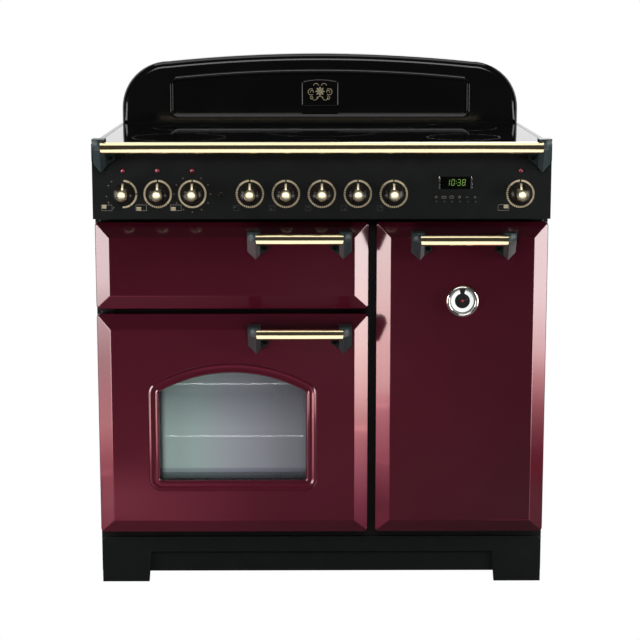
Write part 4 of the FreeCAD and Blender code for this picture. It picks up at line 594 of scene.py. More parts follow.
def arched_points(inset):
    """The arched outline of the window, at an inset from the edge of its emboss."""
    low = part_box("left_door_panel")[0]
    half = WINDOW_WIDE / 2 - inset
    corner = WINDOW_CORNER - inset
    radius = WINDOW_ARCH - inset
    middle = low.x / MM + WINDOW_LEFT + WINDOW_WIDE / 2
    floor = low.z / MM + WINDOW_FLOOR + inset
    arch = low.z / MM + WINDOW_FLOOR + WINDOW_CROWN - WINDOW_ARCH
    across = half - corner
    up = math.sqrt((radius - corner) ** 2 - across ** 2)
    turn = math.degrees(math.atan2(up, across))
    points = arc_points(middle - across, floor + corner, corner, 180, 270, 8)
    points += arc_points(middle + across, floor + corner, corner, 270, 360, 8)
    points += arc_points(middle + across, arch + up, corner, 0, turn, 8)
    points += arc_points(middle, arch, radius, turn, 180 - turn, 30)[1:-1]
    return points + arc_points(middle - across, arch + up, corner, 180 - turn, 180, 8)


def pressed_door(node, body, window=False):
    """A door skin from one sheet: a flat face, a bevel all round and short side walls."""
    low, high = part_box(node)
    low.y = FACE_Y + WALL_TOP * MM
    piece = block(node + "_skin", low, high)
    pick(piece, "FACE", lambda centre, normal: normal.y < -ALMOST)
    bpy.ops.mesh.inset(thickness=BEVEL_WIDTH * MM, depth=WALL_TOP * MM)
    done()
    pick(piece, "EDGE", lambda a, b: abs(a.x - b.x) < WELD and abs(a.z - b.z) < WELD)
    bpy.ops.mesh.bevel(offset=DOOR_CORNER * MM, segments=6, affect="EDGES")
    done()
    if window:
        cut_out(piece, arched_points(CUT_INSET), WINDOW_CUT, WINDOW_CUT * 2)
        floor = FACE_Y + WINDOW_CUT * MM
        erase(piece, lambda centre, normal: abs(centre.y - floor) < 0.5 * MM)
    erase(piece, lambda centre, normal: normal.y > ALMOST)
    ease(piece, EDGE_ROUNDING, 3, 20)
    modify(piece, "SOLIDIFY", thickness=SKIN * MM, offset=-1)
    crisp(piece, 40)
    return keep(piece, body, "burgundy_enamel", burgundy, node)


def window_surround():
    """The beads round the window, pressed inwards from one face."""
    piece = flat_face("left_door_window_surround", arched_points(0), 0)
    inset_steps(piece, WINDOW_BEADS)
    pick_last(piece)
    bpy.ops.mesh.delete(type="FACE")
    done()
    crisp(piece, 50)
    return keep(piece, "left_door", "burgundy_enamel", burgundy)


enamelled = [pressed_door("grill_door_panel", "grill_door"),
             pressed_door("left_door_panel", "left_door", window=True),
             pressed_door("right_door_panel", "right_door"),
             window_surround()]


# Handles: cast posts with their foot lugs, and a brass bar
brass_pieces = []


def handle(body, bar_node, posts_node):
    """A bar of brass tube between its two posts."""
    refined(posts_node, body, "black_casting", casting, 0.6, angle=14, sharp=18)
    low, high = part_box(bar_node)
    y, z = (low.y + high.y) / 2, (low.z + high.z) / 2
    bar = round_bar(bar_node + "_tube", (low.x, y, z), (high.x, y, z), (high.z - low.z) / 2, 64)
    ease(bar, 0.8, 2, 40)
    smooth(bar, 40)
    brass_pieces.append(keep(bar, body, "brass", brass, bar_node))


for body in ("grill_door", "left_door", "right_door"):
    handle(body, body + "_handle_bar", body + "_handle_posts")
handle("cabinet", "hand_rail", "rail_brackets")


# Knobs with their printed dials

KNOBS = ["grill_knob", "left_oven_function_knob", "left_oven_heat_knob", "front_left_hob_knob",
         "back_left_hob_knob", "middle_hob_knob", "back_right_hob_knob", "front_right_hob_knob",
         "right_oven_heat_knob"]


# Outlines of a skirt with its shaft and of a grip: radius and depth
SKIRT_OUTLINE = [
    (0, -11.5), (7.5, -11.6), (10, -11.2), (13, -9.8), (16, -7.6), (18.2, -5.2), (19.4, -3.0),
    (19.9, -1.4), (19.6, -0.7), (12, -0.6), (3, -0.6), (3, 20), (0, 20)]
GRIP_OUTLINE = [
    (0, -42.4), (4, -42.1), (7.5, -41.2), (9.6, -39.8), (10.9, -37.6), (11.4, -35), (11.2, -31),
    (10.2, -26), (8.8, -21), (8.0, -17), (8.2, -14.5), (9.4, -12.6), (9.4, -11.4), (0, -11.4)]
POINTER_HALF = 2.1
POINTER_FRONT = -19.0
POINTER_BACK = -10.0
POINTER_FOOT = 6.0
POINTER_HEAD = 21.0
POINTER_SLOPE = 8.0


def centre_of(node):
    """The middle of a node, in the plane of the door faces."""
    low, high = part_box(node)
    return Vector(((low.x + high.x) / 2, FACE_Y, (low.z + high.z) / 2))


def knob(node):
    """A black skirt, and a brass grip with its sloping pointer."""
    centre = centre_of(node)
    turned(node + "_skirt_turned", SKIRT_OUTLINE, centre, 56, node, "knob_finish", knob_black, node, angle=35)
    grip = spun(node + "_grip_turned", GRIP_OUTLINE, centre)
    pointer = block(node + "_pointer",
                    centre + Vector((-POINTER_HALF, POINTER_FRONT, POINTER_FOOT)) * MM,
                    centre + Vector((POINTER_HALF, POINTER_BACK, POINTER_HEAD)) * MM)
    pick(pointer, "VERT", lambda co: co.z > centre.z + (POINTER_FOOT + POINTER_HEAD) / 2 * MM)
    bpy.ops.transform.translate(value=(0, POINTER_SLOPE * MM, 0))
    done()
    ease(pointer, 0.5, 2)
    grip = joined(node + "_grip_turned", [grip, pointer])
    smooth(grip, 35)
    brass_pieces.append(keep(grip, node, "knob_finish", knob_brass))


INK = 0.2
INK_PROUD = 0.3


def ring(name, centre, inner, outer, parts, missing=lambda part: False, proud=0.25):
    """A printed ring of parts, counted clockwise from the top, drawn as thin ink."""
    deselect()
    middle = centre + Vector((0, -proud * MM, 0))
    bpy.ops.mesh.primitive_circle_add(vertices=parts, radius=inner * MM, fill_type="NOTHING",
                                      location=middle, rotation=(math.radians(90), 0, 0))
    piece = named(name)
    everything(piece)
    bpy.ops.mesh.extrude_region_move(TRANSFORM_OT_translate={"value": (0, 0, 0)})
    grow = outer / inner
    bpy.ops.transform.resize(value=(grow, 1, grow), center_override=middle)
    done()

    def gap(place, normal):
        turn = math.degrees(math.atan2(place.x - centre.x, place.z - centre.z)) % 360
        return missing(int(turn / 360 * parts))

    erase(piece, gap)
    modify(piece, "SOLIDIFY", thickness=INK * MM, offset=0)
    outward(piece)
    return piece


# The printed dials: a ring of parts with gaps at the top, and between ticks over part of it
DIAL_PARTS = 120
DIAL_TOP = (0, DIAL_PARTS - 1)
DIAL_BREAKS = (10, 29, 30, 49)
DIAL_IN = 24.0
DIAL_OUT = 27.7
TICK_PARTS = 3


def ticked(first, last):
    """A test for the gaps of a dial that has ticks from the first to the last part."""
    return lambda part: part in DIAL_TOP or first < part < last and part % TICK_PARTS == 0


def half_dial(part):
    """A test for the gaps of the grill's dial, which is half a ring."""
    return not 1 <= part <= DIAL_PARTS / 2 or part in DIAL_BREAKS


DIAL_GAPS = {"grill_knob": half_dial, "left_oven_function_knob": ticked(42, 79),
             "left_oven_heat_knob": DIAL_TOP.__contains__}

for node in KNOBS:
    knob(node)
for node in KNOBS:
    missing = DIAL_GAPS.get(node, ticked(16, 104))
    printed = ring(node + "_dial", centre_of(node), DIAL_IN, DIAL_OUT, DIAL_PARTS, missing)
    keep(printed, "cabinet", "panel_enamel", print_brass)


def dots(name, centre, radius, turns, size=1.2, material=print_pale):
    """Printed dots round a centre, at angles counted clockwise from the top."""
    pieces = []
    for number, turn in enumerate(turns):
        angle = math.radians(turn)
        place = centre + Vector((radius * math.sin(angle), -0.1, radius * math.cos(angle))) * MM
        pieces.append(round_bar(f"{name}_{number}", place, place + Vector((0, -0.25 * MM, 0)), size * MM, 12))
    keep(joined(name, pieces), "cabinet", "panel_enamel", material)


def ink(name, left, low, right, high, foot=-0.05):
    """A printed bar on the panel."""
    return block(name, at(left, -INK_PROUD, low), at(right, foot, high))


def outlined(name, x, z, wide, high, line, material):
    """A printed oblong outline."""
    left, right, low, top = x - wide / 2, x + wide / 2, z - high / 2, z + high / 2
    bars = [(left, low, right, low + line), (left, top - line, right, top),
            (left, low, left + line, top), (right - line, low, right, top)]
    parts = [ink(f"{name}_{number}", *bar) for number, bar in enumerate(bars)]
    keep(joined(name, parts), "cabinet", "panel_enamel", material)


dots("grill_dial_dots", centre_of("grill_knob"), 33, (215, 240, 262, 300, 318))
dots("left_heat_dial_dots", centre_of("left_oven_heat_knob"), 35.5, range(30, 331, 30), 1.7, print_brown)

# Signs of the ovens, with the filled part at the oven's own place: its side and level
OVEN_SIGNS = {0: (-1, 1), 1: (-1, -1), 2: (-1, -1), 8: (1, 1)}
SIGN_LEFT = 32.5
SIGN_DROP = 27.0
SIGN_WIDE = 21.7
SIGN_HIGH = 12.0
FILL_HALF = 4.4
ROW_HALF = 0.9
ROW_PITCH = 2.4
for index, (side, level) in OVEN_SIGNS.items():
    centre = centre_of(KNOBS[index])
    x, z = centre.x / MM - SIGN_LEFT, centre.z / MM - SIGN_DROP
    outlined(f"oven_sign_{index}", x, z, SIGN_WIDE, SIGN_HIGH, 0.7, print_pale)
    x += side * SIGN_WIDE * 0.22
    z += level * SIGN_HIGH * 0.16
    rows = [(row, z + row * ROW_PITCH) for row in (-1, 0, 1)]
    fill = [ink(f"oven_sign_fill_{index}_{row}", x - FILL_HALF, middle - ROW_HALF, x + FILL_HALF,
                middle + ROW_HALF) for row, middle in rows]
    keep(joined(f"oven_sign_fill_{index}", fill), "cabinet", "panel_enamel", print_brass)

# Signs of the five cooking zones, with a dot for the zone
ZONE_LEFT = 27.0
ZONE_DROP = 28.0
for index in range(3, 8):
    centre = centre_of(KNOBS[index])
    outlined(f"zone_sign_{index}", centre.x / MM - ZONE_LEFT, centre.z / MM - ZONE_DROP, 11, 10, 0.5,
             print_faint)
    right, up = (index - 5) * 1.2, (index % 2) * 3 - 1.5
    dots(f"zone_dot_{index}", centre + Vector((right - ZONE_LEFT, 0, up - ZONE_DROP)) * MM, 0, (0,), 1.3,
         print_faint)


# Lamps, buttons and clock

LENS_OUTLINE = [(0, -3.0), (1.6, -2.8), (3.0, -2.1), (3.9, -1.0), (4.2, 0), (3.5, 0), (3.5, 17), (0, 17)]
BEZEL_OUTLINE = [(4.1, -0.9), (4.6, -0.9), (4.9, -0.5), (5.0, 0), (4.1, 0), (4.1, -0.9)]
BUTTON_OUTLINE = [(0, -2.5), (1.6, -2.4), (2.3, -2.0), (2.6, -1.4), (2.6, 5.5), (0, 5.5)]
LIGHT_OUTLINE = [(0, -4.3), (2.8, -4.25), (4.1, -3.9), (4.7, -3.2), (4.7, 7.5), (0, 7.5)]

lenses = []
bezels = []
for index, knob_index in enumerate((0, 1, 2, 8)):
    centre = centre_of(KNOBS[knob_index])
    centre.z = centre_of("indicator_lamps").z
    lenses.append(spun(f"lamp_lens_{index}", LENS_OUTLINE, centre, 32))
    bezels.append(spun(f"lamp_bezel_{index}", BEZEL_OUTLINE, centre, 32))
lens_set = joined("lamp_lenses", lenses)
smooth(lens_set, 40)
keep(lens_set, "cabinet", "lamp_red", lamp_glass, "indicator_lamps")
bezel_set = joined("lamp_bezels", bezels)
smooth(bezel_set, 40)
keep(bezel_set, "cabinet", "lamp_red", button_black)

for number in range(1, 7):
    node = f"clock_button_{number}"
    turned(node + "_cap", BUTTON_OUTLINE, centre_of(node), 28, node, "button_plastic", button_black, node)
turned("light_button_cap", LIGHT_OUTLINE, centre_of("light_button"), 32, "light_button", "button_plastic",
       knob_black, "light_button")

DISPLAY_LEFT = 228.0
DISPLAY_RIGHT = 293.5
DISPLAY_FLOOR = PANEL_FLOOR + 58.6
DISPLAY_TOP = DISPLAY_FLOOR + 24.7
BAR_HALF = 1.5
BAR_END = 0.6
for side, x in (("left", DISPLAY_LEFT + BAR_HALF), ("right", DISPLAY_RIGHT - BAR_HALF)):
    bar = block(f"display_bar_{side}", at(x - BAR_HALF, -1.0, DISPLAY_FLOOR + BAR_END),
                at(x + BAR_HALF, 0.2, DISPLAY_TOP - BAR_END))
    ease(bar, 0.4, 2)
    smooth(bar)
    keep(bar, "cabinet", "gauge_chrome", chrome)

# Lit bars of each figure, and each bar's place: across, up, lying flat and standing upright
SEGMENTS = {"0": "abcdef", "1": "bc", "3": "abcdg", "8": "abcdefg"}
PLACES = {"a": (0, 2, 1, 0), "g": (0, 1, 1, 0), "d": (0, 0, 1, 0), "f": (0, 1, 0, 1), "b": (1, 1, 0, 1),
          "e": (0, 0, 0, 1), "c": (1, 0, 0, 1)}
FIGURE_WIDE = 5.6
FIGURE_HIGH = 11.5
FIGURE_PITCH = 9.6
FIGURE_LEAN = 0.10
FIGURE_LEFT = 243.0
FIGURE_FLOOR = DISPLAY_FLOOR + 7.5
LIT_HALF = 0.45
LIT_PROUD = 0.35
LIT_BACK = 0.1
COLON_MIDDLE = 262.0
COLON_HALF = 0.6
COLON_ROOM = 2.0


def digit(name, figure, x, z):
    """One figure of lit bars, leaning a little."""
    bars = []
    for letter in SEGMENTS[figure]:
        across, level, flat, upright = PLACES[letter]
        left = x + across * FIGURE_WIDE
        floor = z + level * FIGURE_HIGH / 2
        low = (left + (LIT_HALF if flat else -LIT_HALF), floor + (LIT_HALF if upright else -LIT_HALF))
        high = (left + (FIGURE_WIDE - LIT_HALF if flat else LIT_HALF),
                floor + (FIGURE_HIGH / 2 - LIT_HALF if upright else LIT_HALF))
        bar = block(f"{name}_{letter}", at(low[0], -LIT_PROUD, low[1]), at(high[0], LIT_BACK, high[1]))
        for point in bar.data.vertices:
            point.co.x += FIGURE_LEAN * (point.co.z - z * MM)
        bars.append(bar)
    return bars


bars = []
figure_left = FIGURE_LEFT
for index, figure in enumerate("1038"):
    bars += digit(f"figure_{index}", figure, figure_left, FIGURE_FLOOR)
    figure_left += FIGURE_PITCH + (COLON_ROOM if index == 1 else 0)
for index, up in enumerate((3.6, 8.2)):
    x, z = COLON_MIDDLE + up * FIGURE_LEAN, FIGURE_FLOOR + up
    bars.append(block(f"figure_colon_{index}", at(x - COLON_HALF, -LIT_PROUD, z - COLON_HALF),
                      at(x + COLON_HALF, LIT_BACK, z + COLON_HALF)))
keep(joined("clock_figures", bars), "cabinet", "clock_plastic", digit_green)

# Signs over the clock's buttons: two dials, two oblongs, a minus and a plus
SIGNS_LEFT = 223.5
SIGNS_PITCH = 15.2
SIGNS_LEVEL = PANEL_FLOOR + 43


def clock_sign(number, x, z):
    """The bars and rings of one sign."""
    name = f"sign_{number}"
    if number in (0, 3):
        return [ring(name, at(x, 0, z), 1.7, 2.4, 24, proud=0.15),
                ink(name + "_hand", x - 0.3, z, x + 0.3, z + 1.5, 0)]
    if number in (1, 2):
        flat = [ink(f"{name}_{edge}", x - 4, z + edge - 0.35, x + 4, z + edge + 0.35, 0)
                for edge in (-2.0, 2.0)]
        return flat + [ink(f"{name}_side_{edge}", x + edge - 0.35, z - 2, x + edge + 0.35, z + 2, 0)
                       for edge in (-3.7, 3.7)]
    upright = [ink(name + "_up", x - 0.4, z - 2.6, x + 0.4, z + 2.6, 0)] if number == 5 else []
    return [ink(name, x - 2.6, z - 0.4, x + 2.6, z + 0.4, 0)] + upright


signs = []
for number in range(6):
    signs += clock_sign(number, SIGNS_LEFT + number * SIGNS_PITCH, SIGNS_LEVEL)
keep(joined("clock_signs", signs), "cabinet", "panel_enamel", print_pale)


# Thermometer

gauge = centre_of("thermometer_case")
RIM = (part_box("thermometer_case")[0].y - FACE_Y) / MM
DIAL_FRONT = -1.6
DIAL_BACK = -0.5
DIAL_EDGE = 22.6
BEZEL_IN = 24.6
TIP_START = 5.0


def on_gauge(name, outline, material, *nodes):
    """A turned ring of the thermometer."""
    turned(name, outline, gauge, 96, "right_door", "gauge_chrome", material, *nodes)


on_gauge("thermometer_bezel", [
    (BEZEL_IN, RIM + 3.4), (25.0, RIM + 1.8), (26.0, RIM + 0.7), (27.4, RIM + 0.1), (28.8, RIM + 0.15),
    (30.0, RIM + 0.8), (31.0, RIM + 2.0), (31.7, RIM + 3.8), (31.9, RIM + 6), (31.9, 0), (24, 0), (24, 13),
    (2, 13), (2, DIAL_BACK), (BEZEL_IN, DIAL_BACK), (BEZEL_IN, RIM + 3.4)], chrome, "thermometer_case")
on_gauge("thermometer_collar_ring", [
    (DIAL_EDGE, -2.6), (BEZEL_IN, RIM + 4.2), (BEZEL_IN, DIAL_BACK), (DIAL_EDGE, DIAL_BACK),
    (DIAL_EDGE, -2.6)], collar_grey)
on_gauge("thermometer_dial_face", [
    (1.8, DIAL_FRONT), (22.7, DIAL_FRONT), (22.7, DIAL_BACK), (1.8, DIAL_BACK),
    (1.8, DIAL_FRONT)], dial_black)
scale_ring = ring("thermometer_scale_ring", gauge + Vector((0, DIAL_FRONT * MM, 0)), 15.0, DIAL_EDGE, 72,
                  lambda part: not 3 <= part < 69, 0.3)
keep(scale_ring, "right_door", "gauge_chrome", dial_grey)
hub = spun("needle_hub_turned", [
    (0, -3.9), (1.6, -3.8), (2.6, -3.2), (2.8, -2.6), (1.4, -2.4), (1.4, 12), (0, 12)], gauge, 28)
blade = block("needle_blade", gauge + Vector((-3, -3.4, -0.7)) * MM, gauge + Vector((11, -2.8, 0.7)) * MM)
pick(blade, "VERT", lambda co: co.x > gauge.x + TIP_START * MM)
bpy.ops.transform.resize(value=(1, 1, 0.25), center_override=gauge)
bpy.ops.transform.translate(value=(0, 0, 4 * MM))
done()
pick(blade, "VERT", lambda co: co.x < gauge.x)
bpy.ops.transform.translate(value=(0, 0, -1 * MM))
done()
needle = joined("thermometer_needle_finished", [hub, blade])
smooth(needle, 30)
keep(needle, "thermometer_needle", "needle_red", needle_red, "thermometer_needle")


# Oven shelves of round wire

SHELF_LEVELS = {"left": (302.0, 411.0), "right": (336.0, 536.0)}
SHELF_INSET = 20.5
RIM_WIRE = 2.5
BAR_WIRE = 1.6
BAR_START = 2.0
WIDE_SHELF = 0.3


def rod(name, start, end, radius):
    """One wire of a shelf."""
    return round_bar(name, start, end, radius * MM, 12)


def shelf(name, low, high):
    """A shelf's front wire, and all its other wires."""
    z = (low.z + high.z) / 2
    rim = RIM_WIRE * MM
    front = rod(f"{name}_front", (low.x, low.y + rim, z), (high.x, low.y + rim, z), RIM_WIRE)
    rest = [rod(f"{name}_side_{number}", (x, low.y, z), (x, high.y, z), RIM_WIRE)
            for number, x in enumerate((low.x + rim, high.x - rim))]
    rest.append(rod(f"{name}_back", (low.x, high.y - rim, z), (high.x, high.y - rim, z), RIM_WIRE))
    count = 13 if high.x - low.x > WIDE_SHELF else 9
    for index in range(count):
        x = low.x + (high.x - low.x) * (index + 1) / (count + 1)
        start, end = low.y + BAR_START * MM, high.y - BAR_START * MM
        rest.append(rod(f"{name}_bar_{index}", (x, start, z), (x, end, z), BAR_WIRE))
    return front, rest


shelf_low, shelf_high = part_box("oven_shelves")
rods = []
front_rods = []
for side, levels in SHELF_LEVELS.items():
    low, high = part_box(f"{side}_oven_cavity")
    for number, level in enumerate(levels):
        front, rest = shelf(f"{side}_shelf_{number}",
                            Vector((low.x + SHELF_INSET * MM, shelf_low.y, level * MM)),
                            Vector((high.x - SHELF_INSET * MM, shelf_high.y, level * MM)))
        front_rods.append(front)
        rods += rest
shelf_set = joined("oven_shelf_wires", rods)
smooth(shelf_set, 60)
keep(shelf_set, "cabinet", "chromed_wire", chrome_wire, "oven_shelves")
front_wires = joined("oven_shelf_front_wires", front_rods)
smooth(front_wires, 60)
keep(front_wires, "cabinet", "chromed_wire", chrome_wire)


# Splashback: a pressing with rounded edges, an embossed recess and a plaque
SPLASH_LOW, SPLASH_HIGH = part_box("splashback")
SPLASH_FRONT = (SPLASH_LOW.y - FACE_Y) / MM
SPLASH_BACK = (SPLASH_HIGH.y - FACE_Y) / MM
SPLASH_HALF = SPLASH_HIGH.x / MM
SPLASH_TOP = SPLASH_HIGH.z / MM
SPLASH_FLOOR = SPLASH_LOW.z / MM
CORNER_ARC = 105.0
CAMBER = 17.5
EDGE_ROUND = 16.0
RECESS_INSET = 113.0
RECESS_DROP = 38.5
RECESS_RISE = 14.0
RECESS_CAMBER = 16.0
RECESS_CORNER = 14.0
RECESS_DEPTH = 5.0
RECESS_LIP = 3.5
RECESS_WALL = [(1.0, -0.5), (1.2, -1.6), (1.2, -1.6), (1.0, -1.0)]
PLAQUE_HALF = 42.0
PLAQUE_RISE = 35.0
PLAQUE_HEIGHT = 65.0
PLAQUE_CAMBER = 4.0
PLAQUE_CORNER = 6.0
PLAQUE_EDGE = [(0.3, 1.2), (0.5, 1.0), (0.6, 0.5), (2.0, 0.8), (0.8, 0.0)]
PLAQUE_PROUD = sum(rise for width, rise in PLAQUE_EDGE)


def cambered(half, floor, shoulder, camber, corner, floor_corner=0.0):
    """The outline of a plate with round shoulders and a slightly arched top."""
    flat = half - corner
    radius = (flat * flat + camber * camber) / (2 * camber)
    sweep = math.degrees(math.asin(flat / radius))
    if floor_corner:
        points = arc_points(-half + floor_corner, floor + floor_corner, floor_corner, 180, 270, 6)
        points += arc_points(half - floor_corner, floor + floor_corner, floor_corner, 270, 360, 6)
    else:
        points = [(-half, floor), (half, floor)]
    points += arc_points(flat, shoulder - corner, corner, 0, 90, 14)
    points += arc_points(0, shoulder + camber - radius, radius, 90 - sweep, 90 + sweep, 30)[1:-1]
    return points + arc_points(-flat, shoulder - corner, corner, 90, 180, 14)


def recess_outline(grow=0.0):
    """The outline of the recess, grown by millimetres."""
    half = SPLASH_HALF - RECESS_INSET + grow
    floor = HOB_LEVEL + RECESS_RISE - grow
    side = SPLASH_TOP - RECESS_DROP - RECESS_CAMBER + grow
    return cambered(half, floor, side, RECESS_CAMBER, RECESS_CORNER + grow, RECESS_CORNER + grow)


def splash_sheet():
    """The pressing: its rounded front edge, its recess and the bead round that."""
    outline = cambered(SPLASH_HALF, SPLASH_FLOOR, SPLASH_TOP - CAMBER, CAMBER, CORNER_ARC)
    sheet = flat_face("splashback_sheet", outline, SPLASH_BACK)
    pull(sheet, SPLASH_FRONT + EDGE_ROUND - SPLASH_BACK)
    front = at(0, SPLASH_FRONT + EDGE_ROUND, 0).y
    for width, rise in quarter_round(EDGE_ROUND, 8):
        pick(sheet, "FACE", lambda centre, normal: abs(centre.y - front) < WELD * 2 and normal.y < -ALMOST)
        bpy.ops.mesh.inset(thickness=width * MM, depth=rise * MM, use_even_offset=True)
        done()
        front -= rise * MM
    cut_out(sheet, recess_outline(), SPLASH_FRONT + RECESS_DEPTH * 2, RECESS_DEPTH * 3)
    recess = flat_face("splashback_recess", recess_outline(RECESS_LIP), SPLASH_FRONT - 0.1)
    inset_steps(recess, half_round(RECESS_LIP * 2, 1.6, 6) + RECESS_WALL)
    outward(sheet)
    sheet = joined("splashback_pressing", [sheet, recess])
    crisp(sheet, 40)
    return keep(sheet, "cabinet", "black_enamel", black_enamel, "splashback")


def splash_plaque():
    """The raised plaque in the recess."""
    floor = HOB_LEVEL + PLAQUE_RISE
    points = cambered(PLAQUE_HALF, floor, floor + PLAQUE_HEIGHT - PLAQUE_CAMBER, PLAQUE_CAMBER,
                      PLAQUE_CORNER, PLAQUE_CORNER)
    plaque = flat_face("splashback_plaque", points, SPLASH_FRONT + RECESS_DEPTH)
    inset_steps(plaque, PLAQUE_EDGE)
    crisp(plaque, 40)
    return keep(plaque, "cabinet", "black_enamel", black_enamel)


splash_parts = [splash_sheet(), splash_plaque()]

# A plain ornament of scrolls round a rosette, on the plaque
ORNAMENT_DEPTH = SPLASH_FRONT + RECESS_DEPTH - PLAQUE_PROUD - 0.1
ORNAMENT_LEVEL = HOB_LEVEL + PLAQUE_RISE + PLAQUE_HEIGHT / 2
ROSETTE_LEVEL = ORNAMENT_LEVEL + 3
PETALS = 8
PETAL_OUT = 6.4
PETAL_SIZE = Vector((4.2, 0.8, 2.0))


def scroll(name, x, z, radius, thick, wanted):
    """Part of a round hoop lying on the plaque."""
    deselect()
    centre = at(x, ORNAMENT_DEPTH, ORNAMENT_LEVEL + z)
    bpy.ops.mesh.primitive_torus_add(major_segments=40, minor_segments=8, major_radius=radius * MM,
                                     minor_radius=thick * MM, location=centre,
                                     rotation=(math.radians(90), 0, 0))
    piece = named(name)
    erase(piece, lambda place, normal: not wanted((place.x - centre.x) / MM, (place.z - centre.z) / MM))
    return piece


ornament = []
for index in range(PETALS):
    angle = math.tau * index / PETALS
    deselect()
    bpy.ops.mesh.primitive_uv_sphere_add(
        segments=16, ring_count=8, radius=1, rotation=(0, -angle, 0), scale=PETAL_SIZE * MM,
        location=at(PETAL_OUT * math.cos(angle), ORNAMENT_DEPTH, ROSETTE_LEVEL + PETAL_OUT * math.sin(angle)))
    ornament.append(named(f"rosette_petal_{index}"))
ornament.append(spun("rosette_heart", [(0, -1.5), (1.6, -1.3), (2.3, -0.5), (2.5, 0.3), (0, 0.3)],
                     at(0, ORNAMENT_DEPTH, ROSETTE_LEVEL), 24))
for side, name in ((-1, "left"), (1, "right")):
    ornament += [
        scroll(f"scroll_{name}_outer", side * 20, 2, 7, 0.9, lambda x, z: x * side > -4),
        scroll(f"scroll_{name}_inner", side * 18.5, 2, 3.4, 0.9, lambda x, z: z > -1.5),
        scroll(f"scroll_{name}_low", side * 12, -11, 5.6, 0.9, lambda x, z: z < 2.5),
        scroll(f"scroll_{name}_top", side * 9, 15, 6, 0.8, lambda x, z: z > 1),
        scroll(f"scroll_{name}_tip", side * 19, -11, 3.2, 0.8, lambda x, z: x * side > -1)]
ornament.append(scroll("scroll_garland", 0, -13, 5.2, 0.9, lambda x, z: z > -1))
ornament = joined("plaque_ornament", ornament)
smooth(ornament, 50)
keep(ornament, "cabinet", "brass", ornament_gold)


# The splashback's front leans back a little, and its back stays upright.
SPLASH_LEAN = math.tan(math.radians(2.5))
for piece in splash_parts + [ornament]:
    for point in piece.data.vertices:
        share = (SPLASH_HIGH.y - point.co.y) / (SPLASH_HIGH.y - SPLASH_LOW.y)
        point.co.y += max(0.0, point.co.z - HOB_TOP) * SPLASH_LEAN * max(0.0, min(1.0, share))


# Hob: a faint printed ring for each zone, from its middle and radius
ZONES = [(-290, 160, 95), (-290, 410, 75), (0, 285, 115), (290, 410, 95), (290, 160, 75)]
ZONE_LINE = 1.4
prints = []
for index, (x, depth, radius) in enumerate(ZONES):
    deselect()
    centre = at(x, depth, HOB_LEVEL + 0.06)
    bpy.ops.mesh.primitive_circle_add(vertices=96, radius=radius * MM, fill_type="NOTHING", location=centre)
    piece = named(f"zone_ring_{index}")
    everything(piece)
    bpy.ops.mesh.extrude_region_move(TRANSFORM_OT_translate={"value": (0, 0, 0)})
    shrink = (radius - ZONE_LINE) / radius
    bpy.ops.transform.resize(value=(shrink, shrink, 1), center_override=centre)
    done()
    modify(piece, "SOLIDIFY", thickness=INK / 2 * MM, offset=0)
    outward(piece)
    prints.append(piece)
keep(joined("hob_zone_rings", prints), "cabinet", "ceramic_glass", zone_print)


# Studio

def either(nodes, links, first, second):
    """The larger of two values."""
    larger = nodes.new("ShaderNodeMath")
    larger.operation = "MAXIMUM"
    links.new(first, larger.inputs[0])
    links.new(second, larger.inputs[1])
    return larger.outputs["Value"]


def white_to(name, colour, rays):
    """A studio surface that is plain, and white for the named kinds of ray."""
    material, nodes, links, shader = tree(name)
    lighter = tuple(share * 1.05 for share in colour)
    links.new(ramp(nodes, links, noise(nodes, links, 3.0), [(0.0, colour), (1.0, lighter)]),
              shader.inputs["Base Color"])
    shader.inputs["Roughness"].default_value = 0.7
    shader.inputs["Specular IOR Level"].default_value = 0.1
    path = nodes.new("ShaderNodeLightPath")
    seen = path.outputs[rays[0]]
    for ray in rays[1:]:
        seen = either(nodes, links, seen, path.outputs[ray])
    white = nodes.new("ShaderNodeEmission")
    white.inputs["Strength"].default_value = 1.0
    mix = nodes.new("ShaderNodeMixShader")
    links.new(seen, mix.inputs["Fac"])
    links.new(shader.outputs["BSDF"], mix.inputs[1])
    links.new(white.outputs["Emission"], mix.inputs[2])
    links.new(mix.outputs["Shader"], nodes["Material Output"].inputs["Surface"])
    return material


FLOOR_SIZE = 24
WALL_RADIUS = 6.5
WALL_HIGH = 9.0
WALL_MIDDLE = 4.4
WALL_FRONT = 1.2

deselect()
bpy.ops.mesh.primitive_plane_add(size=FLOOR_SIZE, location=(0, 0, 0))
floor = named("floor")
floor.data.materials.append(white_to("pale_floor", grey(0.12), ["Is Camera Ray"]))

deselect()
bpy.ops.mesh.primitive_cylinder_add(vertices=96, radius=WALL_RADIUS, depth=WALL_HIGH, end_fill_type="NOTHING",
                                    location=(0, 0, WALL_MIDDLE))
wall = named("backdrop")
erase(wall, lambda centre, normal: centre.y < WALL_FRONT)
wall.data.materials.append(white_to("white_backdrop", grey(0.3),
                                    ["Is Camera Ray", "Is Glossy Ray", "Is Transmission Ray"]))


def lamp(name, place, aim, size, radiance, receivers=None, diffuse=True, glossy=True, blockers=None):
    """A soft box. Its power follows from its size and the brightness of its face."""
    light = bpy.data.lights.new(name, "AREA")
    light.shape = "RECTANGLE"
    light.size, light.size_y = size
    light.energy = radiance * math.pi * size[0] * size[1]
    holder = bpy.data.objects.new(name, light)
    bpy.context.scene.collection.objects.link(holder)
    holder.location = place
    holder.rotation_euler = (Vector(aim) - Vector(place)).to_track_quat("-Z", "Y").to_euler()
    holder.visible_camera = False
    holder.visible_diffuse = diffuse
    holder.visible_glossy = glossy
    if receivers is not None:
        holder.light_linking.receiver_collection = receivers
    if blockers is not None:
        holder.light_linking.blocker_collection = blockers
    return holder


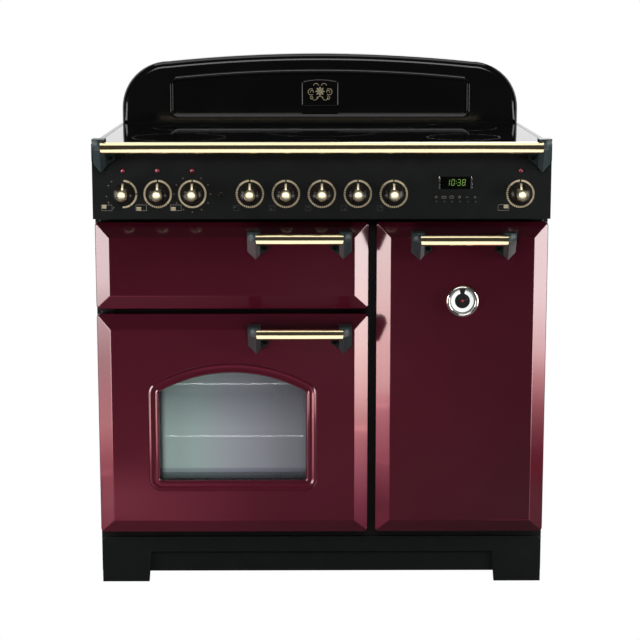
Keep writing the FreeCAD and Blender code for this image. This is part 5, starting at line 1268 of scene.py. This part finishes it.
def lit_set(name, pieces):
    """The pieces that a lamp shines on."""
    chosen = bpy.data.collections.new(name)
    for piece in pieces:
        chosen.objects.link(piece)
    return chosen


def made_of(material):
    """The pieces that have a material."""
    return [piece for piece in meshes if any(slot.material == material for slot in piece.material_slots)]


meshes = [piece for piece in bpy.data.objects if piece.type == "MESH"]
grips = [piece for piece in brass_pieces if "grip" in piece.name]
bars = [piece for piece in brass_pieces if piece not in grips]
bright_bars = lit_set("bright_bars", bars)
bright_grips = lit_set("bright_grips", grips + [scale_ring])
enamel = lit_set("enamelled_doors", enamelled)
lenses_lit = lit_set("lamp_lenses_lit", [lens_set])
plain = lit_set("all_the_rest", [piece for piece in meshes if piece not in brass_pieces + enamelled])
pane = lit_set("window_pane", made_of(inner_glass))
wires = lit_set("oven_wires", [front_wires])
nothing = lit_set("no_blockers", [floor])


def graded(holder, levels, axis, fade=False):
    """Let a soft box of brightness 1 change along an axis: place, brightness, green share, blue share."""
    light = holder.data
    peak = max(level for place, level, green, blue in levels)
    light.energy *= peak
    light.use_nodes = True
    nodes, links = light.node_tree.nodes, light.node_tree.links
    split = nodes.new("ShaderNodeSeparateXYZ")
    links.new(nodes.new("ShaderNodeNewGeometry").outputs["Parametric"], split.inputs["Vector"])
    colour = ramp(nodes, links, split.outputs[axis],
                  [(place, (level / peak, level / peak * green, level / peak * blue))
                   for place, level, green, blue in levels])
    if fade:
        edge = ramp(nodes, links, split.outputs["X" if axis == "Y" else "Y"],
                    [(0.0, grey(0)), (0.35, grey(1)), (0.65, grey(1)), (1.0, grey(0))])
        colour = product(nodes, links, colour, edge)
    links.new(colour, nodes["Emission"].inputs["Color"])


# Tall soft boxes at both sides, which the bevels mirror: bright above, fading to the floor.
# The near ones are mirrored by the outer bevels and the far ones by the inner bevels. Each has
# its place, its width, and its levels: height, brightness, green share and blue share.
BOX_FOOT = 0.0
BOX_HEAD = 0.85
BOXES = {
    "left_near": (-1.2, -0.56, 0.32, [
        (0.0, 2.2, 0.30, 0.36), (0.06, 3.6, 0.36, 0.40), (0.13, 5.2, 0.46, 0.47), (0.20, 4.9, 0.48, 0.50),
        (0.30, 4.4, 0.62, 0.64), (0.40, 6.4, 0.74, 0.75), (0.50, 10.4, 0.82, 0.83),
        (0.85, 11.0, 0.86, 0.87)]),
    "right_near": (1.2, -0.56, 0.32, [
        (0.0, 0.5, 0.06, 0.12), (0.05, 0.7, 0.08, 0.16), (0.12, 1.6, 0.26, 0.32), (0.18, 3.2, 0.34, 0.37),
        (0.25, 6.0, 0.46, 0.48), (0.32, 9.5, 0.64, 0.65), (0.45, 11.5, 0.80, 0.81),
        (0.85, 12.0, 0.86, 0.87)]),
    "left_far": (-1.2, -1.00, 0.56, [
        (0.0, 6.8, 0.34, 0.40), (0.02, 7.2, 0.38, 0.42), (0.054, 9.6, 0.54, 0.53), (0.20, 11.2, 0.59, 0.58),
        (0.35, 12.0, 0.72, 0.70), (0.50, 12.5, 0.80, 0.79), (0.85, 13.0, 0.86, 0.86)]),
    "right_far": (1.2, -0.90, 0.56, [
        (0.0, 6.6, 0.37, 0.39), (0.04, 7.8, 0.47, 0.47), (0.107, 11.4, 0.56, 0.55), (0.24, 13.6, 0.70, 0.67),
        (0.35, 14.0, 0.74, 0.73), (0.50, 13.5, 0.82, 0.82), (0.85, 13.5, 0.86, 0.86)]),
}
for name, (x, y, wide, levels) in BOXES.items():
    middle, tall = (BOX_FOOT + BOX_HEAD) / 2, BOX_HEAD - BOX_FOOT
    box = lamp(name + "_box", (x, y, middle), (0, y, middle), (wide, tall), 1.0, enamel, diffuse=False)
    graded(box, [((z - BOX_FOOT) / tall, *rest) for z, *rest in levels], "Y")

# Long soft boxes on the floor, each along the line that the low end of a bevel mirrors: the
# line's start and direction, its width, and its levels by their distance along it
STRIP_LEVEL = 0.01
FLOOR_BOXES = {
    "left_near": ((-0.43, -0.29), (-0.943, -0.327), 0.16, [
        (0.10, 0.8, 0.20, 0.28), (0.36, 1.3, 0.26, 0.34), (0.54, 2.0, 0.34, 0.40), (0.825, 2.2, 0.30, 0.36)]),
    "right_near": ((0.43, -0.29), (0.943, -0.327), 0.16, [
        (0.10, 0.3, 0.06, 0.12), (0.36, 0.4, 0.06, 0.12), (0.825, 0.5, 0.06, 0.12)]),
    "left_far": ((0.09, -0.29), (-0.880, -0.477), 0.22, [
        (0.30, 0.7, 0.08, 0.20), (0.64, 2.0, 0.14, 0.27), (1.08, 4.6, 0.28, 0.36), (1.33, 5.8, 0.33, 0.385),
        (1.475, 6.8, 0.34, 0.40)]),
    "right_far": ((0.065, -0.29), (0.908, -0.420), 0.22, [
        (0.30, 0.8, 0.06, 0.20), (0.54, 1.9, 0.14, 0.28), (0.74, 3.2, 0.23, 0.35), (0.94, 4.9, 0.28, 0.37),
        (1.20, 6.4, 0.36, 0.38), (1.26, 6.6, 0.37, 0.39)]),
}


def floor_box(name, x, y, size, turn, levels):
    """A soft box that lies on the floor and shines up, graded along its length."""
    box = lamp(name, (x, y, STRIP_LEVEL), (x, y, 1), size, 1.0, enamel, diffuse=False)
    box.rotation_euler = (math.pi, 0, turn)
    graded(box, levels, "X", fade=True)


for name, ((x, y), (along_x, along_y), wide, levels) in FLOOR_BOXES.items():
    near, far = levels[0][0], levels[-1][0]
    middle = (near + far) / 2
    shares = [((place - near) / (far - near), *rest) for place, *rest in levels]
    floor_box(name + "_floor_box", x + along_x * middle, y + along_y * middle, (far - near, wide),
              math.atan2(along_y, along_x), shares)
floor_box("left_face_glow", -0.42, -0.80, (0.56, 0.80), 0, [
    (0.0, 0.0, 0.2, 0.3), (0.2, 1.3, 0.2, 0.3), (0.45, 1.1, 0.2, 0.3), (1.0, 0.0, 0.2, 0.3)])

# Plain soft boxes at both sides: how high and how bright the wash on the enamel is
WASHES = {"left": (-1.2, 0.50, 9.0), "right": (1.2, 0.71, 13.4)}
WASH_SIZE = (0.30, 0.60)
EDGE_SIZE = (0.30, 0.70)
SIDE_SIZE = (0.8, 0.9)
for side, (x, height, radiance) in WASHES.items():
    lamp(f"{side}_wash", (x * 1.1, -0.62, height), (0, -0.62, height), WASH_SIZE, radiance, enamel,
         glossy=False)
    lamp(f"{side}_edge_wash", (x, -0.10, 0.50), (0, -0.24, 0.50), EDGE_SIZE, 5.0, enamel, glossy=False)
    lamp(f"{side}_plain_box", (x, -0.70, 0.60), (0, -0.70, 0.60), SIDE_SIZE, 5.0, plain)
lamp("front_key", (0, -4.2, 3.0), (0, -0.2, 0.6), (3.0, 1.6), 4.5, plain)
low_fill = lamp("left_low_fill", (-1.15, -1.35, 0.20), (-0.32, -0.28, 0.14), (0.5, 0.3), 5.0, enamel,
                glossy=False)
low_fill.data.spread = math.radians(70)
lamp("centre_wash", (0.04, -0.85, 0.44), (0.04, -0.28, 0.44), (0.25, 0.30), 5.4, enamel, glossy=False)
lamp("top_soft", (0, 0.35, 3.0), (0, 0.0, 0.9), (2.4, 1.2), 1.6, plain)
lamp("bar_top_glow", (0, 0.2, 3.0), (0, 0.2, 0.0), (3.4, 3.0), 1.35, bright_bars)
lamp("bar_floor_glow", (0, -1.8, 0.02), (0, -1.8, 1.0), (3.0, 2.9), 1.35, bright_bars)
lamp("grip_glow", (0, -2.6, 1.5), (0, 0, 0.8), (4.4, 2.8), 2.0, bright_grips)
lamp("lens_glint", (-1.6, -1.3, 1.15), (0, -0.3, 0.85), (0.35, 0.35), 60.0, lenses_lit)
lamp("pane_glow", (-0.6, -2.4, 0.5), (-0.18, -0.24, 0.36), (0.8, 0.8), 21.0, pane, glossy=False)
lamp("wire_glow", (-0.4, -2.4, 0.9), (-0.18, -0.2, 0.36), (0.8, 0.8), 45.0, wires, blockers=nothing)
lamp("back_fill", (1.2, 3.6, 2.6), (0, 0.3, 0.5), (2.0, 2.0), 3.0)

# A dim sky that the camera sees as white
SKY_LEVEL = 0.045
world = bpy.data.worlds.new("studio")
bpy.context.scene.world = world
world.use_nodes = True
sky_nodes = world.node_tree.nodes
sky_links = world.node_tree.links
sky = sky_nodes["Background"]
sky_path = sky_nodes.new("ShaderNodeLightPath")
sky_level = sky_nodes.new("ShaderNodeMapRange")
sky_level.inputs["To Min"].default_value = SKY_LEVEL
sky_level.inputs["To Max"].default_value = 1.0
sky_links.new(sky_path.outputs["Is Camera Ray"], sky_level.inputs["Value"])
sky_links.new(sky_level.outputs["Result"], sky.inputs["Strength"])
sky.inputs["Color"].default_value = (1, 1, 1, 1)

scene = bpy.context.scene
scene.view_settings.view_transform = "Standard"

# Camera, worked out from the photograph's vanishing points
TILT = math.radians(9.1)
TURN = -0.0064
FOCAL_PIXELS = 1668.8
FRAME_PIXELS = 640
SENSOR = 36.0
SHIFT = -0.09
FAR = 60
EYE = (-0.0244, -3.521, 1.1909)
camera_data = bpy.data.cameras.new("camera")
camera_data.sensor_width = SENSOR
camera_data.lens = FOCAL_PIXELS / FRAME_PIXELS * SENSOR
camera_data.shift_y = SHIFT
camera_data.clip_end = FAR
camera = bpy.data.objects.new("camera", camera_data)
scene.collection.objects.link(camera)
camera.location = EYE
camera.rotation_euler = (math.radians(90) - TILT, 0, TURN)
scene.camera = camera
